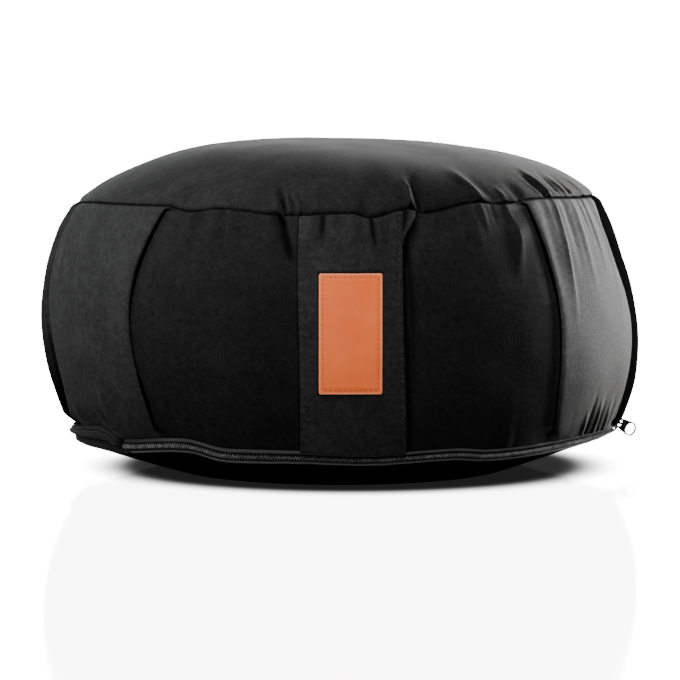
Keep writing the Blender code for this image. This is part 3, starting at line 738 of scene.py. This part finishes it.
def makeGrainGroup():
    # leather grain and small scuffs on object coordinates
    tree, given, out = groupWith(
        "leatherGrain",
        [("Vector", "NodeSocketVector", None)],
        [("Height", "NodeSocketFloat"), ("Scuff", "NodeSocketFloat"), ("Cloud", "NodeSocketFloat")],
    )
    skin = given.outputs["Vector"]
    cells = addNode(tree, "TexVoronoi", {"Vector": skin, "Scale": 1500.0})
    pores = noiseNode(tree, skin, 2600.0, 2.0)
    scuff = noiseNode(tree, stretched(tree, skin, (1.0, 1.0, 0.25)), 700.0, 4.0)
    feed(tree, out, {
        "Height": mathNode(tree, "MULTIPLY_ADD", pores, 0.5, cells.outputs["Distance"]),
        "Scuff": ramp(tree, scuff, 0.58, 0.75),
        "Cloud": noiseNode(tree, skin, 45.0, 4.0),
    })
    return tree


def newMaterial(name, base, roughness, metallic=0.0, specular=0.5):
    material = bpy.data.materials.new(name)
    material.use_nodes = True
    tree = material.node_tree
    shader = tree.nodes["Principled BSDF"]
    feed(tree, shader, {
        "Base Color": (*base, 1.0), "Roughness": roughness,
        "Metallic": metallic, "Specular IOR Level": specular,
    })
    return material, tree, shader


def between(tree, mask, low, high):
    # from low where the mask is 0 to high where it is 1
    return mathNode(tree, "MULTIPLY_ADD", mask, high - low, low)


canvas = {
    "threads": 1800.0,
    "dark": (0.0112, 0.0112, 0.0114),
    "pale": (0.0222, 0.0222, 0.0227),
    "paleEdgeColour": (0.050, 0.050, 0.051),
    "level": 1.0,
    "pocketShade": 0.96,
    "sheen": 0.055,
    "sheenRoughness": 0.30,
    "specular": 0.08,
    "roughness": (0.80, 0.92),
    "bump": (0.4, 0.00025),
}
# a copy of the canvas with no sheen and no specular, put where shade is painted
shadedCanvas = {**canvas, "sheen": 0.0, "specular": 0.0}
# the strap's canvas is a copy painted 1.25 times lighter, as painted light
strapCanvas = {**canvas, "level": 1.25}


def makeCanvas(name, weave, settings):
    material, tree, shader = newMaterial(name, settings["pale"], 0.9, specular=settings["specular"])
    threads = addNode(
        tree, "Group", {"Vector": clothVector(tree), "Threads": settings["threads"]}, node_tree=weave
    ).outputs
    mask = mathNode(tree, "MULTIPLY_ADD", threads["Slub"], 0.8, threads["Mottle"])
    ground = mixColour(
        tree, ramp(tree, mask, 0.1, 1.5), (*settings["dark"], 1), (*settings["pale"], 1)
    )
    # painted light and shade: recessed panels are darker than the strips, and pockets and seams darker still
    pocket = mathNode(tree, "MULTIPLY", attribute(tree, "shade"), settings["pocketShade"])
    light = mathNode(tree, "SUBTRACT", 1.0, pocket)
    depth = mathNode(tree, "SUBTRACT", 0.50, ramp(tree, attribute(tree, "tone"), 0.6, 3.0))
    specks = mathNode(tree, "MULTIPLY", threads["Speck"], mathNode(tree, "MAXIMUM", depth, 0.0))
    light = mathNode(tree, "MULTIPLY", light, mathNode(tree, "SUBTRACT", 1.0, specks))
    tone = mathNode(tree, "MULTIPLY", attribute(tree, "tone"), light)
    tone = mathNode(tree, "MULTIPLY", tone, settings["level"])
    scaled = addNode(tree, "VectorMath", operation="SCALE")
    feed(tree, scaled, {0: ground, "Scale": tone})
    paleEdge = mathNode(tree, "MULTIPLY", attribute(tree, "paleEdge"), threads["Slub"])
    feed(tree, shader, {
        "Base Color": mixColour(tree, paleEdge, scaled.outputs[0], (*settings["paleEdgeColour"], 1)),
        "Roughness": between(tree, threads["Mottle"], *settings["roughness"]),
        "Sheen Weight": settings["sheen"],
        "Sheen Roughness": settings["sheenRoughness"],
        "Normal": bump(tree, threads["Height"], *settings["bump"]),
    })
    return material


leather = {
    "base": (0.58, 0.17, 0.06),
    "dark": (0.95, 0.150, 0.030, 1),
    "pale": (1.0, 0.180, 0.042, 1),
    "scuff": (1.0, 0.28, 0.10, 1),
    "edge": (1.0, 0.44, 0.24, 1),
    "scuffShare": 0.25,
    "specular": 0.12,
    "roughness": (0.42, 0.60),
    "bump": (0.35, 0.00012),
}


def makeLeather(grain):
    material, tree, shader = newMaterial("tanLeather", leather["base"], 0.5, specular=leather["specular"])
    skin = addNode(tree, "Group", {"Vector": objectVector(tree)}, node_tree=grain).outputs
    ground = mixColour(tree, ramp(tree, skin["Cloud"], 0.3, 0.7), leather["dark"], leather["pale"])
    scuff = mathNode(tree, "MULTIPLY", skin["Scuff"], leather["scuffShare"])
    scuffed = mixColour(tree, scuff, ground, leather["scuff"])
    feed(tree, shader, {
        "Base Color": mixColour(tree, attribute(tree, "paleEdge"), scuffed, leather["edge"]),
        "Roughness": between(tree, skin["Height"], *leather["roughness"]),
        "Normal": bump(tree, skin["Height"], *leather["bump"]),
    })
    return material


zipCloth = {
    "base": (0.02, 0.02, 0.021),
    "dark": (0.004, 0.004, 0.004, 1),
    "pale": (0.016, 0.016, 0.016, 1),
    "piping": (0.075, 0.075, 0.076, 1),
    "threads": 2400.0,
    "ribs": 420.0,
    "bump": (0.5, 0.00018),
}


def makeTape(weave):
    material, tree, shader = newMaterial("zipTape", zipCloth["base"], 0.8, specular=0.1)
    cloth = clothVector(tree)
    threads = addNode(
        tree, "Group", {"Vector": cloth, "Threads": zipCloth["threads"]}, node_tree=weave
    ).outputs
    values = {"Vector": cloth, "Scale": zipCloth["ribs"], "Distortion": 0.6}
    ribs = addNode(tree, "TexWave", values, bands_direction="Y").outputs["Fac"]
    tone = mathNode(tree, "MULTIPLY", ribs, threads["Mottle"])
    ground = mixColour(tree, tone, zipCloth["dark"], zipCloth["pale"])
    height = mathNode(tree, "ADD", ribs, threads["Height"])
    feed(tree, shader, {
        "Base Color": mixColour(tree, attribute(tree, "paleEdge"), ground, zipCloth["piping"]),
        "Normal": bump(tree, height, *zipCloth["bump"]),
    })
    return material


nylon = {
    "dark": (0.09, 0.09, 0.092), "pale": (0.24, 0.24, 0.245),
    "roughness": 0.40, "metallic": 0.0, "specular": 0.3,
}
lacquer = {
    "dark": (0.012, 0.012, 0.013), "pale": (0.035, 0.035, 0.037),
    "roughness": 0.45, "metallic": 0.3, "specular": 0.4,
}


def makeHard(name, settings):
    # nylon and lacquered metal: small changes of tone and gloss
    rough = settings["roughness"]
    material, tree, shader = newMaterial(
        name, settings["pale"], rough, settings["metallic"], settings["specular"]
    )
    vector = objectVector(tree)
    smudge = noiseNode(tree, vector, 420.0, 4.0)
    tones = (*settings["dark"], 1), (*settings["pale"], 1)
    feed(tree, shader, {
        "Base Color": mixColour(tree, ramp(tree, smudge, 0.35, 0.7), *tones),
        "Roughness": between(tree, smudge, rough - 0.1, rough + 0.15),
        "Normal": bump(tree, noiseNode(tree, vector, 3200.0, 2.0), 0.2, 0.00004),
    })
    return material


def makeThread(name, dark, pale):
    material, tree, shader = newMaterial(name, pale, 0.6, specular=0.4)
    fibre = noiseNode(tree, stretched(tree, objectVector(tree), (1.0, 1.0, 2.5)), 1900.0, 3.0)
    feed(tree, shader, {
        "Base Color": mixColour(tree, ramp(tree, fibre, 0.3, 0.7), (*dark, 1), (*pale, 1)),
        "Normal": bump(tree, fibre, 0.5, 0.0001),
    })
    return material


# Strap and patch

strap = {
    "left": (-7.5, -7.4, -8.5),
    "right": (13.6, 11.4, 11.8),
    "radius": 0.175,
    "thickness": 0.0018,
    "gap": 0.0009,
    "topShare": 0.992,
    "footDrop": 0.0012,
    "fullness": 0.0016,
    "hemRise": 0.00032,
    "ditch": 0.00035,
    "quiver": 0.00022,
    "easedEdge": 0.0006,
    "columns": 88,
    "rows": 150,
    "sewnLength": 0.132,
    "stitchInset": 0.0022,
    "stitchPitch": 0.0031,
    "stitchSize": (0.0022, 0.00042, 0.00042),
    "stitchRise": -0.00005,
}
tuck = {"foot": 0.86, "reach": 2.5, "under": 0.9, "rows": 40, "columns": 12, "thickness": 0.0008}
# Creases of the strap: place across it (0 left, 1 right) at its top and at the far end,
# share at the far end, half width and rise in metres
strapCreases = [
    (0.03, 0.10, 0.90, 0.0018, -0.0006),
    (0.12, 0.16, 0.84, 0.0030, 0.0010),
    (0.235, 0.205, 0.82, 0.0028, -0.0017),
    (0.34, 0.30, 0.88, 0.0026, 0.0009),
    (0.49, 0.52, 0.85, 0.0032, 0.0013),
    (0.60, 0.61, 0.88, 0.0020, -0.0008),
    (0.645, 0.680, 0.86, 0.0014, 0.0010),
    (0.690, 0.750, 0.83, 0.0011, -0.0030),
    (0.76, 0.80, 0.85, 0.0022, 0.0010),
    (0.88, 0.86, 0.84, 0.0016, -0.0008),
]


def strapEdges(share):
    # azimuths of its left and right edge, and its width in metres
    left, right = through(*strap["left"], share), through(*strap["right"], share)
    return left, right, math.radians(right - left) * strap["radius"]


def ridge(distance, centre, halfWidth):
    return math.exp(-((distance - centre) / halfWidth) ** 2)


def strapRise(across, share):
    # the gathers at the strap's top
    width = strapEdges(share)[2]
    rise = 0.0
    for topAt, farAt, farShare, halfWidth, size in strapCreases:
        along = (1 - share) / (1 - farShare)
        centre = topAt + (farAt - topAt) * min(along, 1.0)
        fade = smooth((1.05 - along) / 0.8)
        rise += size * ridge(across * width, centre * width, halfWidth) * fade
    return rise * min(1.0, min(across, 1 - across) * width / 0.003)


def strapPoint(across, share, above):
    # above is the height over the strap's underside
    left, right, width = strapEdges(share)
    edge = min(across, 1 - across) * width
    shape = strap["hemRise"] * ridge(edge, 0.0010, 0.0009)
    shape -= strap["ditch"] * ridge(edge, strap["stitchInset"], 0.0005)
    shape += strap["quiver"] * math.sin(share * 190.0 + across * 9.0) * math.exp(-edge / 0.006)
    shape += strap["fullness"] * smooth((share - 0.80) / 0.14) * min(1.0, edge / 0.004)
    out = strap["gap"] + above + strapRise(across, share) + shape
    azimuth = left + (right - left) * across
    return sidePlace(azimuth, share, max(out, strap["gap"] * 0.6 + above), creased=False)


def faceFront(work):
    bmesh.ops.recalc_face_normals(work, faces=work.faces)
    if work.faces[:][len(work.faces) // 2].normal.y > 0:
        bmesh.ops.reverse_faces(work, faces=work.faces)


def thicken(work, piece):
    # the sheet's thickness behind its face, with eased edges
    bmesh.ops.solidify(work, geom=work.faces[:], thickness=piece["thickness"])
    corner = math.radians(60)
    sharp = [edge for edge in work.edges if len(edge.link_faces) == 2 and edge.calc_face_angle(0) > corner]
    bmesh.ops.bevel(
        work, geom=sharp, offset=piece["easedEdge"], segments=2, affect="EDGES", profile=0.5, material=-1
    )


def capsule(work, place, along, up, size, detail):
    # a small rounded stitch or tooth; size is its length, width and depth
    side = along.cross(up).normalized()
    turned = Matrix((along, side, side.cross(along))).transposed().to_4x4()
    scaled = Matrix.Diagonal([extent / 2 for extent in size] + [1.0])
    bmesh.ops.create_icosphere(
        work, subdivisions=detail, radius=1.0, matrix=Matrix.Translation(place) @ turned @ scaled
    )


def sewStitches(work, pointAt, spots, piece):
    # one stitch at each spot of the piece, laid along the row
    top = piece["thickness"]
    points = [pointAt(*spot, top + piece["stitchRise"]) for spot in spots]
    for index, point in enumerate(points):
        before = points[max(index - 1, 0)]
        after = points[min(index + 1, len(points) - 1)]
        along = (Vector(after) - Vector(before)).normalized()
        up = Vector(pointAt(*spots[index], top + 0.001) - point).normalized()
        capsule(work, point, along, up, piece["stitchSize"], 2)


def buildTuck(material):
    # the surplus cloth folded out under the strap's right edge, widest at the rim seam
    rows = []
    steps = np.linspace(0.0, 1.0, tuck["columns"])
    for share in np.linspace(strap["topShare"], tuck["foot"], tuck["rows"]):
        share = float(share)
        width = tuck["reach"] * smooth((share - tuck["foot"]) / 0.12) + 0.3
        azimuths = strapEdges(share)[1] - tuck["under"] + (width + tuck["under"]) * steps
        lifted = 0.0008 * steps * smooth((share - tuck["foot"]) / 0.1)
        out = 0.0006 + 0.0012 * np.sin(math.pi * steps**0.8) + lifted
        rows.append({
            "place": sidePlace(azimuths, share, out, creased=False),
            "flat": clothFlat(azimuths, strap["radius"], share * cover["sideLength"]),
            # shade is painted shadow beside the strap's edge; the lighter outer fold is a painted highlight
            "shade": 0.95 * (1 - smooth((steps - 0.42) / 0.34)),
            "paleEdge": 0.7 * smooth((steps - 0.86) / 0.1),
            "tone": 1.3 + 0 * steps,
        })
    work = gridMesh(rows, closed=False)
    faceFront(work)
    bmesh.ops.solidify(work, geom=work.faces[:], thickness=tuck["thickness"])
    return meshObject("strapTuck", work, material)


def roundPatch(place):
    # the thin shadow on the strap round the patch
    aside = np.abs(place[:, 0] - patch["centre"][0]) - patch["width"] / 2
    beyond = np.abs(place[:, 2] - patch["centre"][1]) - patch["height"] / 2
    return 0.85 * smooth((0.0018 - np.maximum(aside, beyond)) / 0.0014)


def buildStrap(material, thread):
    drop = strap["footDrop"] / cover["sideLength"]
    steps = np.linspace(0.0, 1.0, strap["columns"])
    rows = []
    for share in np.linspace(strap["topShare"], -drop, strap["rows"]):
        share = float(share)
        place = np.array([strapPoint(float(step), share, strap["thickness"]) for step in steps])
        left, right, width = strapEdges(share)
        azimuths = left + (right - left) * steps
        gathers = np.array([strapRise(float(step), share) for step in steps])
        rows.append({
            "place": place,
            "flat": clothFlat(azimuths, strap["radius"], share * cover["sideLength"]),
            # shade is painted shadow round the patch and in the hollows of the gathers; the strap is lighter
            # along its edges; tone is painted light, lighter at the top and darker to the right
            "shade": np.maximum(roundPatch(place), 0.92 * smooth((-gathers - 0.0003) / 0.0016)),
            "paleEdge": 0.34 * np.exp(-np.minimum(steps, 1 - steps) * width / 0.0007),
            "tone": (0.88 + 0.5 * share) * (1 - 0.32 * steps),
        })
    work = gridMesh(rows, closed=False)
    faceFront(work)
    thicken(work, strap)
    made = meshObject("carryStrap", work, material)
    tucked = buildTuck(material)
    stitches = bmesh.new()
    for side in (0, 1):
        spots = []
        for index in range(int(strap["sewnLength"] / strap["stitchPitch"])):
            share = strap["topShare"] - 0.006 - index * strap["stitchPitch"] / cover["sideLength"]
            inset = strap["stitchInset"] / strapEdges(share)[2]
            spots.append((inset if side == 0 else 1 - inset, share))
        sewStitches(stitches, strapPoint, spots, strap)
    sewn = meshObject("strapStitches", stitches, thread)
    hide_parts("carry_strap")
    for piece in (made, tucked, sewn):
        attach(piece, "root")
    print("strap:", len(made.data.polygons), "faces")
    return made


patch = {
    "width": 0.0346,
    "height": 0.0674,
    "centre": (0.0056, 0.0945),
    "thickness": 0.0016,
    "gap": 0.0004,
    "corner": 0.0005,
    "ditch": 0.00028,
    "swell": 0.00018,
    "easedEdge": 0.00025,
    "columns": 40,
    "rows": 76,
    "stitchInset": 0.0021,
    "stitchPitch": 0.0028,
    "stitchSize": (0.0020, 0.00045, 0.00045),
    "stitchRise": 0.00008,
}


def patchPoint(along, up, above):
    # along and up run from the patch's middle, in metres
    sideways, height = patch["centre"][0] + along, patch["centre"][1] + up
    azimuth = 0.0
    for _ in range(4):
        foot, rim = float(hemHeight(azimuth)), float(wave(rimWave, azimuth))
        share = (height - foot) / (rim - foot)
        leaned = sideways - cover["lean"] * math.cos(math.pi * share)
        azimuth = math.degrees(math.asin(leaned / sideRadius(share)))
    edge = min(patch["width"] / 2 - abs(along), patch["height"] / 2 - abs(up))
    shape = patch["swell"] * ridge(edge, 0.0038, 0.0012)
    shape -= patch["ditch"] * ridge(edge, patch["stitchInset"], 0.00055)
    out = strap["gap"] + strap["thickness"] + patch["gap"] + above + shape
    return sidePlace(azimuth, share, out, creased=False)


def buildPatch(material, thread):
    rows = []
    halfWidth, halfHeight = patch["width"] / 2, patch["height"] / 2
    for up in np.linspace(halfHeight, -halfHeight, patch["rows"]):
        # the corners are cut round
        over = max(0.0, abs(up) - (halfHeight - patch["corner"]))
        reach = halfWidth - patch["corner"] + math.sqrt(max(patch["corner"] ** 2 - over**2, 0.0))
        alongs = np.linspace(-reach, reach, patch["columns"])
        edge = np.minimum(reach - np.abs(alongs), halfHeight - abs(up))
        rows.append({
            "place": np.array([patchPoint(float(along), float(up), patch["thickness"]) for along in alongs]),
            "flat": np.stack([alongs, 0 * alongs + up], axis=-1),
            "paleEdge": 0.85 * np.exp(-edge / 0.0005),
        })
    work = gridMesh(rows, closed=False)
    faceFront(work)
    thicken(work, patch)
    made = meshObject("leatherPatch", work, material)
    stitches = bmesh.new()
    across, tall = halfWidth - patch["stitchInset"], halfHeight - patch["stitchInset"]
    corners = [(-across, tall), (across, tall), (across, -tall), (-across, -tall), (-across, tall)]
    for (startX, startY), (endX, endY) in zip(corners, corners[1:]):
        count = round(math.hypot(endX - startX, endY - startY) / patch["stitchPitch"])
        parts = [(index + 0.5) / count for index in range(count)]
        spots = [(startX + (endX - startX) * part, startY + (endY - startY) * part) for part in parts]
        sewStitches(stitches, patchPoint, spots, patch)
    sewn = meshObject("patchStitches", stitches, thread)
    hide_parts("leather_patch")
    for piece in (made, sewn):
        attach(piece, "root")
    print("patch:", len(made.data.polygons), "faces")
    return made


# Zip

zipParts = {
    "tapeThickness": 0.0008,
    "chainHeight": 0.0034,
    "toothPitch": 0.0016,
    "toothSize": (0.0022, 0.00058, 0.0012),
    "toothOut": 0.0011,
    "toothAside": 0.00052,
    "toothLean": 0.32,
    "radius": 0.168,
    "step": 0.6,
    "piping": {1: 0.0022, -1: 0.0013},
}


def zipRun(step):
    return np.arange(zipBed["start"], zipBed["end"] + 0.01, step)


def buildTape(name, sign, material, node):
    # a thin band with a rolled edge by the teeth and its other edge sewn under the cloth
    bed = -zipBed["depth"] + zipBed["gap"]
    face = bed + zipParts["tapeThickness"]
    inner, outer = zipParts["chainHeight"] / 2 - 0.0004, zipBed["half"] - 0.0003
    piped = zipParts["piping"][sign]
    section = [
        (bed, inner), (face - 0.0003, inner), (face - 0.0001, inner + 0.0004),
        (face - 0.0001, outer - piped), (face + 0.0003, outer - piped + 0.0003),
        (face + 0.0004, outer - 0.0005), (face, outer), (bed, outer),
    ]
    rows = []
    for out, across in section + section[:1]:
        azimuths = zipRun(zipParts["step"])
        wobble = 0.00012 * np.sin(np.radians(azimuths) * 61.0 + sign)
        place = zipPlace(azimuths, out + wobble, zipBed["half"] - sign * across)
        flat = clothFlat(azimuths, zipParts["radius"], across)
        piping = 0 * azimuths + float(across > outer - piped + 0.0001)
        rows.append({"place": place, "flat": flat, "paleEdge": piping})
    work = gridMesh(rows, closed=False)
    bmesh.ops.remove_doubles(work, verts=work.verts, dist=1e-6)
    bmesh.ops.holes_fill(work, edges=[edge for edge in work.edges if edge.is_boundary], sides=0)
    made = meshObject(name, work, material)
    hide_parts(node)
    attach(made, "root")
    return made


def buildCoil(material):
    bed = -zipBed["depth"] + zipBed["gap"] + zipParts["tapeThickness"]
    middleLine = zipBed["half"]
    work = bmesh.new()
    step = math.degrees(zipParts["toothPitch"] / zipParts["radius"])
    for azimuth in np.arange(zipBed["start"] + 1, zipBed["end"] - 1, step):
        for sign in (-1, 1):
            at = azimuth + (step / 2 if sign > 0 else 0.0)
            out = bed + zipParts["toothOut"]
            place = Vector(zipPlace(at, out, middleLine - sign * zipParts["toothAside"]))
            ahead = zipPlace(at + 0.1, out, middleLine) - zipPlace(at - 0.1, out, middleLine)
            upward = zipPlace(at, bed, 0.0) - zipPlace(at, bed, middleLine)
            along, across = Vector(ahead).normalized(), Vector(upward).normalized()
            lean = (across * sign + along * zipParts["toothLean"]).normalized()
            capsule(work, place, lean, along.cross(across).normalized(), zipParts["toothSize"], 1)
    made = meshObject("zipCoil", work, material)
    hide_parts("zip_chain")
    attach(made, "root")
    print("coil:", len(made.data.polygons), "faces")
    return made


def buildHardware(name, node, material):
    # the slider and pull keep their solids' shape, with every edge eased
    work = bmesh.new()
    work.from_mesh(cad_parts[node].data)
    bmesh.ops.remove_doubles(work, verts=work.verts, dist=1e-6)
    bmesh.ops.dissolve_limit(
        work, angle_limit=math.radians(2), verts=work.verts[:], edges=work.edges[:]
    )
    made = meshObject(name, work, material, angle=35)
    eased = made.modifiers.new("eased", "BEVEL")
    eased.width = 0.00016
    eased.segments = 2
    eased.limit_method = "ANGLE"
    eased.angle_limit = math.radians(40)
    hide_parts(node)
    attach(made, "root")
    return made


# Studio

studio = {
    "lens": 192.2,
    "cameraPlace": (-0.0002, -2.2, 0.2591),
    "cameraPitch": 4.75,
    "white": 14.0,
    "ambient": 0.03,
    "window": 9.5,
    "floorGlow": 8.5,
    "floorBounce": (0.05, 0.05, 0.05),
    "floorGloss": 0.9,
    "floorRoughness": 0.07,
    "contactShift": (-0.006, 0.0, 0.0),
    "contactStretch": (0.93, 1.0, 0.0),
    "contactReach": (0.100, 0.158),
    "contactPower": 6.0,
}
# Lights: name, place, size, power, colour
lamps = [
    ("keyRight", (1.27, 0.76, 0.35), (0.7, 0.7), 146.0, (1.0, 0.985, 0.97)),
    ("backRight", (0.7, 1.5, 0.75), (0.9, 0.6), 15.0, (1.0, 0.99, 0.98)),
    ("sideLeft", (-1.3, 0.3, 0.95), (0.7, 0.9), 24.0, (0.97, 0.98, 1.0)),
    ("topFront", (-0.1, -0.9, 1.6), (1.3, 0.9), 22.0, (1.0, 1.0, 1.0)),
    ("front", (-0.3, -2.4, 0.30), (1.4, 1.0), 38.0, (1.0, 1.0, 1.0)),
]


def placeCamera():
    data = bpy.data.cameras.new("camera")
    data.lens = studio["lens"]
    data.sensor_width = 36.0
    camera = bpy.data.objects.new("camera", data)
    camera.location = studio["cameraPlace"]
    camera.rotation_euler = (math.radians(90 - studio["cameraPitch"]), 0.0, 0.0)
    bpy.context.scene.collection.objects.link(camera)
    bpy.context.scene.camera = camera


def placeLamps():
    for name, place, size, power, colour in lamps:
        data = bpy.data.lights.new(name, "AREA")
        data.shape = "RECTANGLE"
        data.size, data.size_y = size
        data.energy = power
        data.color = colour
        lamp = bpy.data.objects.new(name, data)
        lamp.location = place
        aim = Vector((0, 0, 0.1)) - Vector(place)
        lamp.rotation_euler = aim.to_track_quat("-Z", "Y").to_euler()
        bpy.context.scene.collection.objects.link(lamp)


def makeWorld():
    # white to the camera, a low bright window behind the cushion and dim elsewhere
    world = bpy.data.worlds.new("studio")
    world.use_nodes = True
    tree = world.node_tree
    around = addNode(tree, "TexCoord").outputs["Generated"]
    split = addNode(tree, "SeparateXYZ", {0: around})
    ahead = ramp(tree, split.outputs["Y"], 0.93, 0.965)
    low = mathNode(tree, "SUBTRACT", 1.0, ramp(tree, split.outputs["Z"], 0.22, 0.30))
    window = mathNode(tree, "MULTIPLY", mathNode(tree, "MULTIPLY", ahead, low), studio["window"])
    rest = mathNode(tree, "ADD", window, studio["ambient"])
    seen = addNode(tree, "LightPath").outputs["Is Camera Ray"]
    strength = mathNode(tree, "MULTIPLY_ADD", seen, studio["white"], rest)
    feed(tree, tree.nodes["Background"], {"Color": (1, 1, 1, 1), "Strength": strength})
    bpy.context.scene.world = world


def makeFloor():
    # to the camera a white glossy sheet with a painted soft contact shadow, which also darkens its
    # reflection; a dim floor to all else
    work = bmesh.new()
    bmesh.ops.create_grid(work, x_segments=8, y_segments=8, size=30.0)
    material = bpy.data.materials.new("paleFloor")
    material.use_nodes = True
    tree = material.node_tree
    tree.nodes.clear()
    # the contact shadow is painted: the floor darkens with the distance from a point near the cushion's
    # middle
    contact = stretched(tree, objectVector(tree), studio["contactStretch"], studio["contactShift"])
    reach = addNode(tree, "VectorMath", {0: contact}, operation="LENGTH").outputs["Value"]
    clear = mathNode(tree, "POWER", ramp(tree, reach, *studio["contactReach"]), studio["contactPower"])
    lit = mathNode(tree, "MULTIPLY_ADD", clear, 0.998, 0.002)
    glow = addNode(tree, "Emission", {"Strength": mathNode(tree, "MULTIPLY", lit, studio["floorGlow"])})
    gloss = mathNode(tree, "MULTIPLY", lit, studio["floorGloss"])
    shine = addNode(tree, "BsdfGlossy", {"Color": gloss, "Roughness": studio["floorRoughness"]})
    both = addNode(tree, "AddShader", {0: glow.outputs[0], 1: shine.outputs[0]})
    plain = addNode(tree, "BsdfDiffuse", {"Color": (*studio["floorBounce"], 1)})
    seen = addNode(tree, "LightPath").outputs["Is Camera Ray"]
    mix = addNode(tree, "MixShader", {0: seen, 1: plain.outputs[0], 2: both.outputs[0]})
    addNode(tree, "OutputMaterial", {"Surface": mix.outputs[0]})
    floor = meshObject("floor", work, material)


weave = makeWeaveGroup()
grain = makeGrainGroup()
placeCamera()
placeLamps()
makeWorld()
makeFloor()
print("studio placed")
buildCover(makeCanvas("blackCanvas", weave, canvas), makeCanvas("shadedCanvas", weave, shadedCanvas))
blackThread = makeThread("blackThread", (0.012, 0.012, 0.013), (0.045, 0.045, 0.046))
buildStrap(makeCanvas("strapCanvas", weave, strapCanvas), blackThread)
tanThread = makeThread("tanThread", (0.22, 0.035, 0.014), (0.40, 0.075, 0.030))
buildPatch(makeLeather(grain), tanThread)
tape = makeTape(weave)
buildTape("zipTapeUpper", 1, tape, "zip_tape_upper")
buildTape("zipTapeLower", -1, tape, "zip_tape_lower")
buildCoil(makeHard("zipNylon", nylon))
blackLacquer = makeHard("blackLacquer", lacquer)
buildHardware("zipSlider", "zip_slider", blackLacquer)
buildHardware("zipPull", "zip_pull", blackLacquer)

print("pieces finished")
